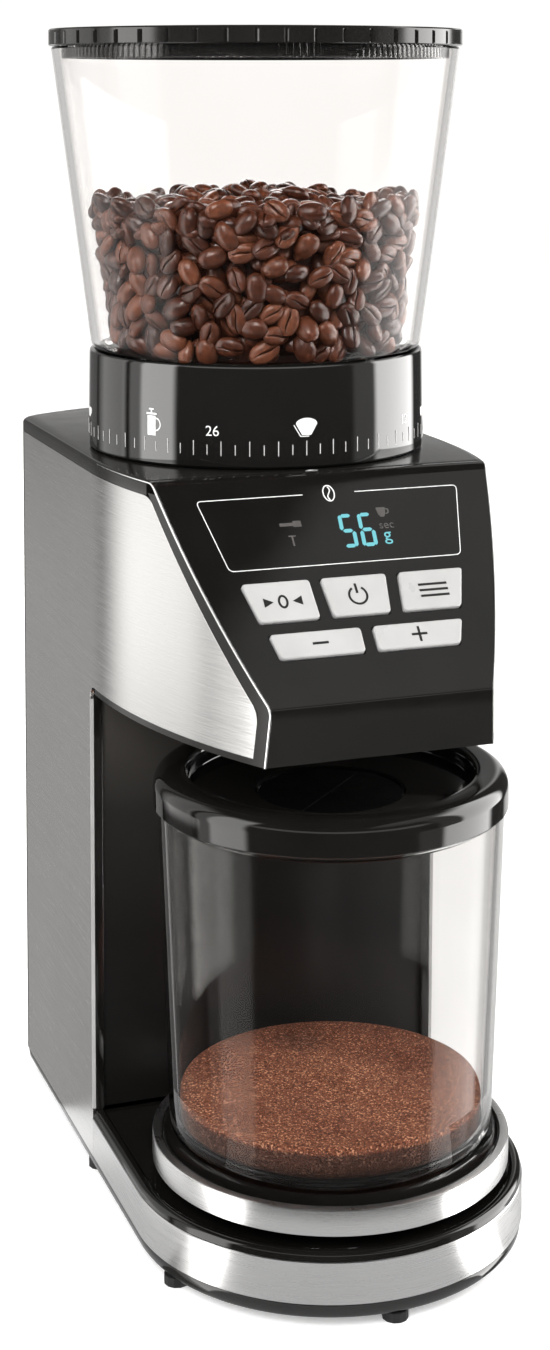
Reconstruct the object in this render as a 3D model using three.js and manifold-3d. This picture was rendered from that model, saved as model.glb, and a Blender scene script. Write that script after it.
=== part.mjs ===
// A burr coffee grinder with built-in scales, in millimetres, +Z up, front facing -Y.
// The origin is on the surface that the grinder stands on, at the middle of its footprint.
import * as THREE from 'three';
import { mergeVertices } from 'three/addons/utils/BufferGeometryUtils.js';
import Module from 'manifold-3d';

const wasm = await Module();
wasm.setup();

// ---------- driving dimensions ----------
const GAP = 0.3;                // clearance between neighbouring pieces
const HALF_W = 65;              // half the body's width
const SIDE_END_Y = 94;          // where the flat sides meet the rounded back
const BACK_Y = 122;             // rearmost point
const BACK_R = 110;             // radius of the bowed back
const BACK_CORNER = 31;         // degrees of the back's bow on each side of its middle
const BASE_Y = -57;             // centre of the base's round nose
const HEAD_R = 215;             // plan radius by which the head's sides draw in
const NECK_Y = 0;               // front of the neck

const FOOT_H = 3.2;
const TRAY_BOTTOM = 3.5;
const TRAY_FLOOR = 2.5;
const BAND_BOTTOM = 8.5;
const BAND_TOP = 22.1;
const DECK_BOTTOM = 22.4;
const DECK_TOP = 25;
const DECK_RECESS = 24;
const SHEET = 1.2;              // thickness of the steel sheet
const WALL = 2.5;               // thickness of the plastic walls

const HEAD_BOTTOM = 173.5;
const STEEL_HEAD_BOTTOM = 175.5;
const STEEL_TOP = 249.3;
const HEAD_TOP = 254;
const FASCIA_TOP = [-53, 254];      // side view (y, z) of the control panel's upper edge
const FASCIA_CREASE = [-106, 191.7];
const FASCIA_FOOT = [-103.9, 173.5];
const FASCIA_THICK = 2.5;
const TRIM_W = 1;               // bright line round the control panel
const STEEL_SETBACK = 4.6;      // black edging between the steel and the control panel
const NECK_CORNER = 5;          // radius where the neck meets the head

const AXIS_Y = 13.5;            // axis of hopper, dial and burrs
const DIAL_BOTTOM = 254.3;
const DIAL_TOP = 288.5;
const DIAL_R = 59.3;
const COLLAR_TOP = 284.6;
const HOPPER_FLOOR = 285;
const HOPPER_TOP = 393.9;
const HOPPER_R_LOW = 58.45;
const HOPPER_R_TOP = 71.5;
const HOPPER_CORNER = 8;
const HOPPER_WALL = 2.6;
const SPIGOT_R = 43.4;
const SPIGOT_BOTTOM = 262;
const BEANS_TOP = 340;
const LID_R = 72.5;
const LID_BOTTOM = 394.2;
const LID_TOP = 400;

const CUP_Y = -60.5;            // axis of the scale platform and the container
const PLATFORM_R = 58.9;
const PLATFORM_BOTTOM = 28.8;
const PLATFORM_TOP = 37.2;
const CUP_BOTTOM = 37.5;
const CUP_TOP = 146.4;
const CUP_R_LOW = 53;
const CUP_R_TOP = 57;
const CUP_WALL = 2.6;
const GROUNDS_TOP = 52.4;
const CAP_R = 58.3;
const CAP_BOTTOM = 146.7;
const CAP_TOP = 158.3;
const CAP_HOLE_R = 47;
const CAP_PLUG = 2.5;           // how far the cap reaches into the container
const FUNNEL_R = 24;            // hole in the cap's sunken funnel
const FUNNEL_DROP = 1.8;        // fall of the funnel toward its hole

const MOTOR_Y = 62;             // axis of the motor
const GEAR_TEETH = 48;
const PINION_TEETH = 12;
const MODULE = 2 * (MOTOR_Y - AXIS_Y) / (GEAR_TEETH + PINION_TEETH);
const SPINDLE_R = 4;
const GEARBOX_BOTTOM = 176.5;
const GEARBOX_TOP = 205.3;
const CHAMBER_TOP = 246;

const ROUND = 36;               // sides of the large round pieces
const SMALL_ROUND = 20;         // sides of the small and hidden round pieces

// ---------- finishes ----------
const finish = (color, roughness, metalness, opacity = 1) =>
  new THREE.MeshStandardMaterial({ color, roughness, metalness, opacity, transparent: opacity < 1 });
const STEEL = finish(0xb4b2ae, 0.32, 1);
const CHROME = finish(0xdcdcdc, 0.1, 1);
const GLOSS_BLACK = finish(0x16130f, 0.12, 0);
const MATT_BLACK = finish(0x1d1b19, 0.55, 0);
const BUTTON_SILVER = finish(0xd2d0cc, 0.35, 0.4);
const CLEAR = finish(0xf4f6f6, 0.05, 0, 0.25);
const ROAST = finish(0x4a2413, 0.4, 0);
const GROUND_COFFEE = finish(0x5b2e18, 0.9, 0);
const RUBBER = finish(0x121212, 0.85, 0);
const ALUMINIUM = finish(0x9a9c9e, 0.4, 1);
const BRONZE = finish(0x9a6a38, 0.4, 1);
const HARD_STEEL = finish(0x77787a, 0.3, 1);
const CIRCUIT = finish(0x1f5133, 0.5, 0);
const WHITE_PLASTIC = finish(0xd8d6d0, 0.5, 0);

// ---------- closed solids ----------
function toSolid(geometry) {
  const bare = geometry.clone();
  bare.deleteAttribute('normal');
  bare.deleteAttribute('uv');
  const merged = mergeVertices(bare, 1e-4);
  const index = merged.index.array;
  const triangles = [];
  for (let i = 0; i < index.length; i += 3) {
    const [a, b, c] = [index[i], index[i + 1], index[i + 2]];
    if (a !== b && b !== c && c !== a) triangles.push(a, b, c);
  }
  return new wasm.Manifold(new wasm.Mesh({
    numProp: 3,
    vertProperties: merged.attributes.position.array,
    triVerts: new Uint32Array(triangles),
  }));
}

function toGeometry(solid) {
  const mesh = solid.getMesh();
  const geometry = new THREE.BufferGeometry();
  geometry.setAttribute('position', new THREE.BufferAttribute(mesh.vertProperties, 3));
  geometry.setIndex(new THREE.BufferAttribute(mesh.triVerts, 1));
  geometry.computeVertexNormals();
  return geometry;
}

const cut = (body, ...tools) => tools.reduce((left, tool) => left.subtract(tool), body);
const join = (body, ...others) => others.reduce((left, other) => left.add(other), body);

// A plan outline, as [x, y] points, raised from z0 to z1.
function slab(points, z0, z1) {
  const shape = new THREE.Shape(points.map(([x, y]) => new THREE.Vector2(x, y)));
  const geometry = new THREE.ExtrudeGeometry(shape, { depth: z1 - z0, bevelEnabled: false });
  return toSolid(geometry.translate(0, 0, z0));
}

// A side-view outline, as [y, z] points, carried from x0 to x1.
function sideSlab(points, x0, x1) {
  const shape = new THREE.Shape(points.map(([y, z]) => new THREE.Vector2(y, z)));
  const geometry = new THREE.ExtrudeGeometry(shape, { depth: x1 - x0, bevelEnabled: false });
  const turn = new THREE.Matrix4().makeBasis(
    new THREE.Vector3(0, 1, 0), new THREE.Vector3(0, 0, 1), new THREE.Vector3(1, 0, 0));
  return toSolid(geometry.applyMatrix4(turn).translate(x0, 0, 0));
}

const block = ([x0, x1], [y0, y1], [z0, z1]) =>
  toSolid(new THREE.BoxGeometry(x1 - x0, y1 - y0, z1 - z0)
    .translate((x0 + x1) / 2, (y0 + y1) / 2, (z0 + z1) / 2));

function rod(x, y, radius, z0, z1, sides = SMALL_ROUND) {
  const geometry = new THREE.CylinderGeometry(radius, radius, z1 - z0, sides);
  return toSolid(geometry.rotateX(Math.PI / 2).translate(x, y, (z0 + z1) / 2));
}

// A turned piece: [radius, z] points run up the outside and back down the inside or the axis.
function turned(points, y, sides = ROUND, x = 0) {
  const onAxis = points[0][0] === 0 && points.at(-1)[0] === 0;
  const profile = onAxis ? points : [...points, points[0]];
  const geometry = new THREE.LatheGeometry(profile.map(([r, z]) => new THREE.Vector2(r, z)), sides);
  return toSolid(geometry.rotateX(Math.PI / 2).translate(x, y, 0));
}

function arcPoints(cx, cy, r, fromDeg, toDeg, steps) {
  const points = [];
  for (let i = 0; i <= steps; i += 1) {
    const a = THREE.MathUtils.degToRad(fromDeg + (toDeg - fromDeg) * i / steps);
    points.push([cx + r * Math.cos(a), cy + r * Math.sin(a)]);
  }
  return points;
}

function bend(p0, control, p1, steps) {
  const [a, b, c] = [p0, control, p1].map(([x, y]) => new THREE.Vector2(x, y));
  return new THREE.QuadraticBezierCurve(a, b, c).getPoints(steps).map((p) => [p.x, p.y]);
}

function roundedOutline(corners, radius) {
  return corners.flatMap((corner, i) => {
    const here = new THREE.Vector2(...corner);
    const toward = (other) => new THREE.Vector2(...other).sub(here).setLength(radius).add(here).toArray();
    const before = toward(corners.at(i - 1));
    const after = toward(corners[(i + 1) % corners.length]);
    return bend(before, corner, after, 3);
  });
}

const mirror = (points) => points.map(([x, y]) => [-x, y]).reverse();

// ---------- plan outlines, drawn anticlockwise ----------
function backCurve(inset) {
  const half = HALF_W - inset;
  const r = BACK_R - inset;
  const centreY = BACK_Y - BACK_R;
  const arc = arcPoints(0, centreY, r, 90 - BACK_CORNER, 90 + BACK_CORNER, 12);
  const [endX, endY] = arc[0];
  const control = [half, endY - Math.tan(THREE.MathUtils.degToRad(BACK_CORNER)) * (half - endX)];
  const corner = bend([half, SIDE_END_Y], control, [endX, endY], 4).slice(0, -1);
  return [...corner, ...arc, ...mirror(corner)];
}

function nose(inset, backY) {
  const half = HALF_W - inset;
  return [...arcPoints(0, BASE_Y, half, 180, 360, 24), [half, backY], [-half, backY]];
}

function footprint(inset) {
  return [...arcPoints(0, BASE_Y, HALF_W - inset, 180, 360, 24), ...backCurve(inset)];
}

function headHalf(inset, y) {
  const drawIn = y < NECK_Y ? HEAD_R - Math.sqrt(HEAD_R ** 2 - (y - NECK_Y) ** 2) : 0;
  return HALF_W - inset - drawIn;
}

function headSide(inset, fromY, toY, steps) {
  const points = [];
  for (let i = 0; i <= steps; i += 1) {
    const y = fromY + (toY - fromY) * i / steps;
    points.push([headHalf(inset, y), y]);
  }
  return points;
}

function headPlan(inset, frontY, backY) {
  const side = headSide(inset, frontY, NECK_Y, 8);
  if (backY > SIDE_END_Y) return [...side, ...backCurve(inset), ...mirror(side)];
  side.push([HALF_W - inset, backY]);
  return [...side, ...mirror(side)];
}

// The control panel's side view, moved inwards by a distance, from its upper edge to its foot.
function fasciaLine(inward, topZ = HEAD_TOP, bottomZ = HEAD_BOTTOM) {
  const [top, crease, foot] = [FASCIA_TOP, FASCIA_CREASE, FASCIA_FOOT].map((p) => new THREE.Vector2(...p));
  const normal = (a, b) => {
    const along = b.clone().sub(a).normalize();
    return new THREE.Vector2(-along.y, along.x);
  };
  const slope = normal(top, crease);
  const lip = normal(crease, foot);
  const mitre = slope.clone().add(lip).divideScalar(1 + slope.dot(lip));
  const bendPoint = crease.clone().addScaledVector(mitre, inward);
  const atZ = (z, a, b) => a.y + (b.y - a.y) * (z - a.z) / (b.z - a.z);
  const through = (point, other, z) => atZ(z, { y: point.x, z: point.y }, { y: other.x, z: other.y });
  const topStart = top.clone().addScaledVector(slope, inward);
  const footEnd = foot.clone().addScaledVector(lip, inward);
  return [
    [through(topStart, bendPoint, topZ), topZ],
    [bendPoint.x, bendPoint.y],
    [through(bendPoint, footEnd, bottomZ), bottomZ],
  ];
}

// ---------- the model ----------
const grinder = new THREE.Group();

function add(name, solid, material, parent = grinder) {
  const mesh = new THREE.Mesh(toGeometry(solid), material);
  mesh.name = name;
  parent.add(mesh);
}

// ----- base -----
const SCREW_SPOTS = [[-44, 74], [44, 74], [-36, -64], [36, -64]];
const FEET = {
  foot_front: [0, -116.5],
  foot_front_left: [-57.5, -74],
  foot_front_right: [57.5, -74],
  foot_middle_left: [-59.5, 10],
  foot_middle_right: [59.5, 10],
  foot_back_left: [-52, 96],
  foot_back_right: [52, 96],
};
const LOAD_CELL_TOP = 20;

function makeBase() {
  const pan = cut(
    slab(footprint(0), TRAY_BOTTOM, BAND_BOTTOM - GAP),
    slab(footprint(WALL), TRAY_BOTTOM + TRAY_FLOOR, BAND_BOTTOM),
    ...SCREW_SPOTS.map(([x, y]) => rod(x, y, 2, 0, 10, 12)));
  const loadCellBoss = block([-8, 8], [-6, 8], [TRAY_BOTTOM + 1, 8.7]);
  add('base_tray', join(pan, loadCellBoss), MATT_BLACK);

  const seamY = NECK_Y - GAP;
  add('steel_base_band',
    cut(slab(nose(0, seamY), BAND_BOTTOM, BAND_TOP), slab(nose(SHEET, seamY + 1), 0, 30)), STEEL);

  const postHole = rod(0, CUP_Y, 11, 20, 30);
  const deckBack = NECK_Y + 1.2;
  const recess = slab(nose(4.5, deckBack + 1), DECK_RECESS, DECK_TOP + 1);
  const deck = slab(nose(0.2, deckBack), DECK_BOTTOM, DECK_TOP);
  const shoulders = block([-HALF_W, HALF_W], [seamY, deckBack + 1], [20, 30]);
  const between = block([-62, 62], [seamY - 1, deckBack + 2], [10, 40]);
  add('base_deck', cut(deck, recess, postHole, cut(shoulders, between)), GLOSS_BLACK);

  for (const [name, [x, y]] of Object.entries(FEET)) add(name, rod(x, y, 4.2, 0, FOOT_H, 12), RUBBER);

  SCREW_SPOTS.forEach(([x, y], i) => {
    const screw = join(rod(x, y, 3.4, 1.7, FOOT_H, 12), rod(x, y, 1.6, FOOT_H - 0.5, 12, 12));
    add(`tray_screw_${i + 1}`, screw, HARD_STEEL);
  });

  const cellHole = sideSlab(arcPoints(-30, 14.5, 3.5, 0, 330, 11), -10, 10);
  add('load_cell', cut(block([-6.3, 6.3], [CUP_Y - 9, 6], [9, LOAD_CELL_TOP]), cellHole), ALUMINIUM);
}

// ----- neck, side panels and back -----
const GLAND_X = 26;
const GLAND_Y = 106;
const GLAND_Z = 24;

function sidePanelOutline() {
  const [top, crease, foot] = fasciaLine(STEEL_SETBACK, STEEL_TOP, STEEL_HEAD_BOTTOM);
  const topCorner = bend([top[0] + 4, STEEL_TOP], top, [top[0] - 2, top[1] - 2.4], 3);
  const creaseCorner = bend([crease[0] + 2.4, crease[1] + 2.8], crease,
    [crease[0] + 0.3, crease[1] - 3.5], 3);
  const inner = bend([NECK_Y - NECK_CORNER, STEEL_HEAD_BOTTOM], [NECK_Y, STEEL_HEAD_BOTTOM],
    [NECK_Y, STEEL_HEAD_BOTTOM - NECK_CORNER], 4);
  return [[SIDE_END_Y, BAND_BOTTOM], [SIDE_END_Y, STEEL_TOP], ...topCorner, ...creaseCorner,
    [foot[0], STEEL_HEAD_BOTTOM], ...inner, [NECK_Y, BAND_BOTTOM]];
}

// The upright wall that follows the body's plan on one side: +1 right, -1 left.
function sideWall(side, inset, thick, z0, z1) {
  const outer = [...headSide(inset, FASCIA_CREASE[0], NECK_Y, 10), [HALF_W - inset, SIDE_END_Y]];
  const inner = outer.map(([x, y]) => [x - thick, y]).reverse();
  const outline = [...outer, ...inner];
  return slab(side > 0 ? outline : mirror(outline), z0, z1);
}

function makeBody() {
  for (const [name, side] of [['left', -1], ['right', 1]]) {
    const sheet = sideWall(side, 0, SHEET, BAND_BOTTOM, STEEL_TOP);
    const outline = sideSlab(sidePanelOutline(), -HALF_W - 5, HALF_W + 5);
    add(`side_panel_${name}`, sheet.intersect(outline), STEEL);
  }

  const wallHalf = HALF_W - SHEET - GAP;
  const neckWall = block([-wallHalf, wallHalf], [NECK_Y + 1.5, NECK_Y + 4],
    [DECK_TOP + GAP, HEAD_BOTTOM - GAP]);
  add('neck_front_wall', neckWall, GLOSS_BLACK);

  const shell = cut(
    slab(backCurve(0), BAND_BOTTOM, STEEL_TOP),
    slab([...backCurve(WALL), [-HALF_W + WALL, SIDE_END_Y - 1], [HALF_W - WALL, SIDE_END_Y - 1]], 0, 260));
  const behindPanels = block([-HALF_W - 1, HALF_W + 1], [SIDE_END_Y - 5, SIDE_END_Y + GAP], [0, 260]);
  const vents = [];
  for (let i = 0; i < 7; i += 1) vents.push(block([-17, 17], [105, 130], [46 + 8 * i, 49.2 + 8 * i]));
  add('back_cover', cut(shell, behindPanels, ...vents, glandBore(7.3)), MATT_BLACK);
  const flange = glandBore(10).intersect(block([0, 70], [GLAND_Y, GLAND_Y + 4], [0, 60]));
  add('cord_gland', cut(join(glandBore(7), flange), glandBore(3.6)), RUBBER);
}

// The cord's way out, low on the back: a cylinder along Y.
function glandBore(radius) {
  const [y0, y1] = radius < 5 ? [GLAND_Y - 10, BACK_Y + 10] : [GLAND_Y, BACK_Y - 0.5];
  const geometry = new THREE.CylinderGeometry(radius, radius, y1 - y0, SMALL_ROUND);
  return toSolid(geometry.translate(GLAND_X, (y0 + y1) / 2, GLAND_Z));
}

// ----- head -----
const SPOUT_HALF_W = 13;
const SPOUT_WALL = 1.8;
const SPOUT_Y = [-70, -50];

function makeHead() {
  const plate = slab(headPlan(0, FASCIA_TOP[0], BACK_Y), STEEL_TOP + GAP, HEAD_TOP);
  const hollow = slab(headPlan(3, FASCIA_TOP[0] + 9, BACK_Y), STEEL_TOP, HEAD_TOP - 2.2);
  const [high, low] = fasciaLine(FASCIA_THICK + GAP, HEAD_TOP + 2);
  const front = sideSlab([[-120, high[1]], [-120, low[1]], low, high], -HALF_W - 1, HALF_W + 1);
  add('top_cover', cut(plate, hollow, front, rod(0, AXIS_Y, 48.3, 240, 260, ROUND)), GLOSS_BLACK);

  const outer = fasciaLine(0);
  const inner = fasciaLine(FASCIA_THICK);
  const plan = slab(headPlan(TRIM_W + GAP, -110, NECK_Y), 150, 260);
  const sheet = sideSlab([...outer, ...[...inner].reverse()], -HALF_W, HALF_W);
  const holes = Object.values(BUTTONS).map((corners) => panelPrism(grow(corners, 0.35), -6, 6));
  add('control_fascia', cut(sheet.intersect(plan), ...holes), GLOSS_BLACK);

  const bright = sideSlab([...fasciaLine(0.2), ...fasciaLine(0.2 + TRIM_W).reverse()], -HALF_W, HALF_W);
  const edging = edgingOutline();
  for (const [name, side] of [['left', -1], ['right', 1]]) {
    add(`fascia_trim_${name}`, sideWall(side, 0, TRIM_W, 150, 260).intersect(bright), CHROME);
    add(`head_edging_${name}`, sideWall(side, 0, TRIM_W, 150, 260).intersect(edging), GLOSS_BLACK);
  }

  const floorInset = WALL + GAP;
  const floorFront = fasciaLine(FASCIA_THICK + GAP)[2][0] + 0.4;
  const floor = slab(headPlan(floorInset, floorFront, NECK_Y + 6), HEAD_BOTTOM, HEAD_BOTTOM + WALL);
  const spoutHole = block([-SPOUT_HALF_W - 0.4, SPOUT_HALF_W + 0.4],
    [SPOUT_Y[0] - 0.4, SPOUT_Y[1] + 0.4], [160, 190]);
  add('head_underside', cut(floor, spoutHole), MATT_BLACK);
}

// Black edging that shows between the steel and the bright line, and below the steel.
function edgingOutline() {
  const start = 0.2 + TRIM_W + GAP;
  const front = fasciaLine(start, STEEL_TOP, HEAD_BOTTOM);
  const back = fasciaLine(STEEL_SETBACK - GAP, STEEL_TOP, STEEL_HEAD_BOTTOM - GAP);
  const end = NECK_Y - NECK_CORNER - GAP;
  const under = [[end, STEEL_HEAD_BOTTOM - GAP], [end, HEAD_BOTTOM]];
  return sideSlab([...front, ...under.reverse(), ...back.reverse()], -HALF_W, HALF_W);
}

// ----- control panel, in the panel's own axes: x across, y up the slope, z out of the face -----
const PANEL_TILT = Math.atan2(FASCIA_TOP[1] - FASCIA_CREASE[1], FASCIA_TOP[0] - FASCIA_CREASE[0]);
const panel = new THREE.Group();
panel.position.set(0, ...FASCIA_TOP);
panel.rotation.x = PANEL_TILT;
panel.updateMatrix();

const BUTTONS = {
  button_tare: [[-37.5, -39], [-14.8, -39], [-14, -52.8], [-33.9, -52.8]],
  button_power: [[-10.9, -39], [11.4, -39], [9.8, -52.8], [-9.4, -52.8]],
  button_select: [[15.8, -39], [38.2, -39], [34.2, -52.8], [14.3, -52.8]],
  button_minus: [[-32.2, -57], [-1.9, -57], [-2, -65.6], [-30, -65.6]],
  button_plus: [[2.3, -57], [33.1, -57], [30.3, -65.6], [2.5, -65.6]],
};
const BUTTON_PROUD = 1.3;
const BUTTON_CORNER = 1.4;

function middle(corners) {
  const [x, y] = corners.reduce(([sx, sy], [cx, cy]) => [sx + cx, sy + cy], [0, 0]);
  return [x / corners.length, y / corners.length];
}

function grow(corners, by) {
  const [mx, my] = middle(corners);
  return corners.map(([x, y]) => [x + Math.sign(x - mx) * by, y + Math.sign(y - my) * by]);
}

function panelPrism(corners, z0, z1) {
  return slab(roundedOutline([...corners].reverse(), BUTTON_CORNER), z0, z1)
    .transform([...panel.matrix.elements]);
}

function makeControls() {
  for (const [name, corners] of Object.entries(BUTTONS)) {
    const [mx, my] = middle(corners);
    const key = slab(roundedOutline([...corners].reverse(), BUTTON_CORNER), -3.6, BUTTON_PROUD);
    add(name, join(key, rod(mx, my, 2, -8.6, -3, 12)), BUTTON_SILVER, panel);
  }
  const board = slab([[-28, -74], [28, -74], [34, -8], [-34, -8]], -12, -10.4);
  const switches = Object.values(BUTTONS).map((corners) => {
    const [mx, my] = middle(corners);
    return rod(mx, my, 1.7, -11, -9.8, 10);
  });
  const display = block([-25, 25], [-33, -10], [-11, -FASCIA_THICK - 0.6]);
  add('control_board', join(board, display, ...switches), CIRCUIT, panel);
  grinder.add(panel);
}

// ----- hopper, lid and beans -----
function hopperRadius(z) {
  const start = HOPPER_FLOOR + HOPPER_CORNER;
  return HOPPER_R_LOW + (HOPPER_R_TOP - HOPPER_R_LOW) * (z - start) / (HOPPER_TOP - start);
}

function makeHopper() {
  const cornerR = HOPPER_R_LOW - HOPPER_CORNER;
  const cornerZ = HOPPER_FLOOR + HOPPER_CORNER;
  const innerCorner = HOPPER_CORNER - HOPPER_WALL;
  add('hopper', turned([
    [SPIGOT_R, SPIGOT_BOTTOM], [SPIGOT_R, HOPPER_FLOOR],
    ...arcPoints(cornerR, cornerZ, HOPPER_CORNER, -90, 0, 4),
    [HOPPER_R_TOP, HOPPER_TOP], [HOPPER_R_TOP - HOPPER_WALL, HOPPER_TOP],
    ...arcPoints(cornerR, cornerZ, innerCorner, 0, -90, 3),
    [SPIGOT_R - HOPPER_WALL, HOPPER_FLOOR + HOPPER_WALL], [SPIGOT_R - HOPPER_WALL, SPIGOT_BOTTOM],
  ], AXIS_Y), CLEAR);

  const throat = SPIGOT_R - HOPPER_WALL - 0.5;
  add('bean_fill', turned([
    [0, SPIGOT_BOTTOM + 1], [throat, SPIGOT_BOTTOM + 1], [throat, HOPPER_FLOOR + HOPPER_WALL + 0.5],
    ...arcPoints(cornerR, cornerZ, innerCorner - 0.5, -90, 0, 3),
    [hopperRadius(BEANS_TOP - 8) - HOPPER_WALL - 0.5, BEANS_TOP - 8], [52, BEANS_TOP],
    [24, BEANS_TOP + 5], [0, BEANS_TOP + 5],
  ], AXIS_Y, 32), ROAST);

  add('lid', turned([
    [0, LID_TOP - 2.8], [65.6, LID_TOP - 2.8], [65.6, LID_BOTTOM - 4.4], [67.9, LID_BOTTOM - 4.4],
    [67.9, LID_BOTTOM], [LID_R, LID_BOTTOM], [LID_R, LID_TOP - 1], [LID_R - 1, LID_TOP], [0, LID_TOP],
  ], AXIS_Y), MATT_BLACK);
}

// ----- grind dial and the burr set -----
const COLLAR_R = 47.9;
const COLLAR_WALL = 3.9;
const COLLAR_BOTTOM = 240;
const RING_BURR_R = 30;
const RING_BURR_BOTTOM = 217.5;
const RING_BURR_TOP = 241;
const CARRIER_R = 40.4;
const CARRIER_TOP = 249;
const CONE_BOTTOM = 217;
const CONE_TOP = 243;
const CONE_R_LOW = 21;
const CONE_R_TOP = 11;
const SPINDLE_BOTTOM = 174;
const SPINDLE_TOP = 244;
const GEAR_BOTTOM = 186;
const GEAR_TOP = 194;
const IMPELLER_R = 37.5;
const IMPELLER_BOTTOM = 209.3;
const VANE_HEIGHT = 4;
const MOTOR_R = 31;
const MOTOR_BOTTOM = 88;
const MOTOR_TOP = 168;

function makeDial() {
  add('grind_dial', turned([
    [48.4, DIAL_BOTTOM], [DIAL_R - 0.5, DIAL_BOTTOM], [DIAL_R, DIAL_BOTTOM + 0.7],
    [DIAL_R - 0.5, DIAL_TOP - 0.8], [DIAL_R - 1.2, DIAL_TOP], [57.6, DIAL_TOP],
    [55.6, HOPPER_FLOOR - 0.4], [55.2, DIAL_BOTTOM + 3], [48.4, DIAL_BOTTOM + 3],
  ], AXIS_Y), GLOSS_BLACK);
  add('hopper_collar', turned([
    [COLLAR_R - COLLAR_WALL, COLLAR_BOTTOM], [COLLAR_R, COLLAR_BOTTOM],
    [COLLAR_R, COLLAR_TOP], [COLLAR_R - COLLAR_WALL, COLLAR_TOP],
  ], AXIS_Y), MATT_BLACK);
  const bore = RING_BURR_R + GAP;
  add('burr_carrier', turned([
    [bore, RING_BURR_BOTTOM + 7.5], [CARRIER_R, RING_BURR_BOTTOM + 7.5], [CARRIER_R, CARRIER_TOP],
    [CARRIER_R - 2.9, CARRIER_TOP], [26, RING_BURR_TOP + 0.4], [bore, RING_BURR_TOP + 0.4],
  ], AXIS_Y, 28), WHITE_PLASTIC);
  add('ring_burr', turned([
    [22.2, RING_BURR_BOTTOM], [RING_BURR_R, RING_BURR_BOTTOM],
    [RING_BURR_R, RING_BURR_TOP], [17.5, RING_BURR_TOP],
  ], AXIS_Y, 28), HARD_STEEL);
}

function gearOutline(teeth, centreY, startDeg) {
  const pitchR = MODULE * teeth / 2;
  const pitch = 360 / teeth;
  const corners = [[-0.28, -1.15], [-0.11, 0.95], [0.11, 0.95], [0.28, -1.15]];
  const points = [];
  for (let tooth = 0; tooth < teeth; tooth += 1) {
    for (const [turn, height] of corners) {
      const a = THREE.MathUtils.degToRad(startDeg + pitch * (tooth + turn));
      const r = pitchR + MODULE * height;
      points.push([r * Math.cos(a), centreY + r * Math.sin(a)]);
    }
  }
  return points;
}

function makeDrive() {
  const spindleHole = rod(0, AXIS_Y, SPINDLE_R + GAP, 100, 300, 16);
  const gear = slab(gearOutline(GEAR_TEETH, AXIS_Y, 90), GEAR_BOTTOM, GEAR_TOP);
  add('drive_gear', cut(gear, spindleHole), WHITE_PLASTIC);
  const mesh = 270 + 180 / PINION_TEETH;
  const pinion = slab(gearOutline(PINION_TEETH, MOTOR_Y, mesh), GEAR_BOTTOM - 1, GEAR_TOP + 1);
  add('motor_pinion', join(pinion, rod(0, MOTOR_Y, 2.5, 173.4, GEAR_BOTTOM, 12)), BRONZE);
  add('burr_spindle', rod(0, AXIS_Y, SPINDLE_R, SPINDLE_BOTTOM, SPINDLE_TOP, 16), HARD_STEEL);
  add('cone_burr', turned([
    [SPINDLE_R + GAP, CONE_BOTTOM], [CONE_R_LOW, CONE_BOTTOM],
    [CONE_R_TOP, CONE_TOP], [SPINDLE_R + GAP, CONE_TOP],
  ], AXIS_Y, 24), HARD_STEEL);

  const diskTop = IMPELLER_BOTTOM + 2.7;
  const vanes = [0, 60, 120].map((deg) => {
    const bar = new THREE.BoxGeometry(2 * IMPELLER_R - 1, 3, VANE_HEIGHT);
    bar.rotateZ(THREE.MathUtils.degToRad(deg));
    return toSolid(bar.translate(0, AXIS_Y, diskTop - 0.5 + VANE_HEIGHT / 2));
  });
  const disk = rod(0, AXIS_Y, IMPELLER_R, IMPELLER_BOTTOM, diskTop, 28);
  add('impeller', cut(join(disk, ...vanes), spindleHole), WHITE_PLASTIC);

  const can = rod(0, MOTOR_Y, MOTOR_R, MOTOR_BOTTOM, MOTOR_TOP, 28);
  add('motor', join(can, rod(0, MOTOR_Y, 9, MOTOR_TOP - 1, MOTOR_TOP + 5)), HARD_STEEL);
}

// The gearbox in plan, round the spindle and the motor shaft.
function eggOutline(outward) {
  const big = 46 + outward;
  const small = 19 + outward;
  const lean = THREE.MathUtils.radToDeg(Math.asin((big - small) / (MOTOR_Y - AXIS_Y)));
  const spindleEnd = arcPoints(0, AXIS_Y, big, 180 - lean, 360 + lean, 20);
  const motorEnd = arcPoints(0, MOTOR_Y, small, lean, 180 - lean, 8);
  return [...spindleEnd, ...motorEnd];
}

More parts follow.
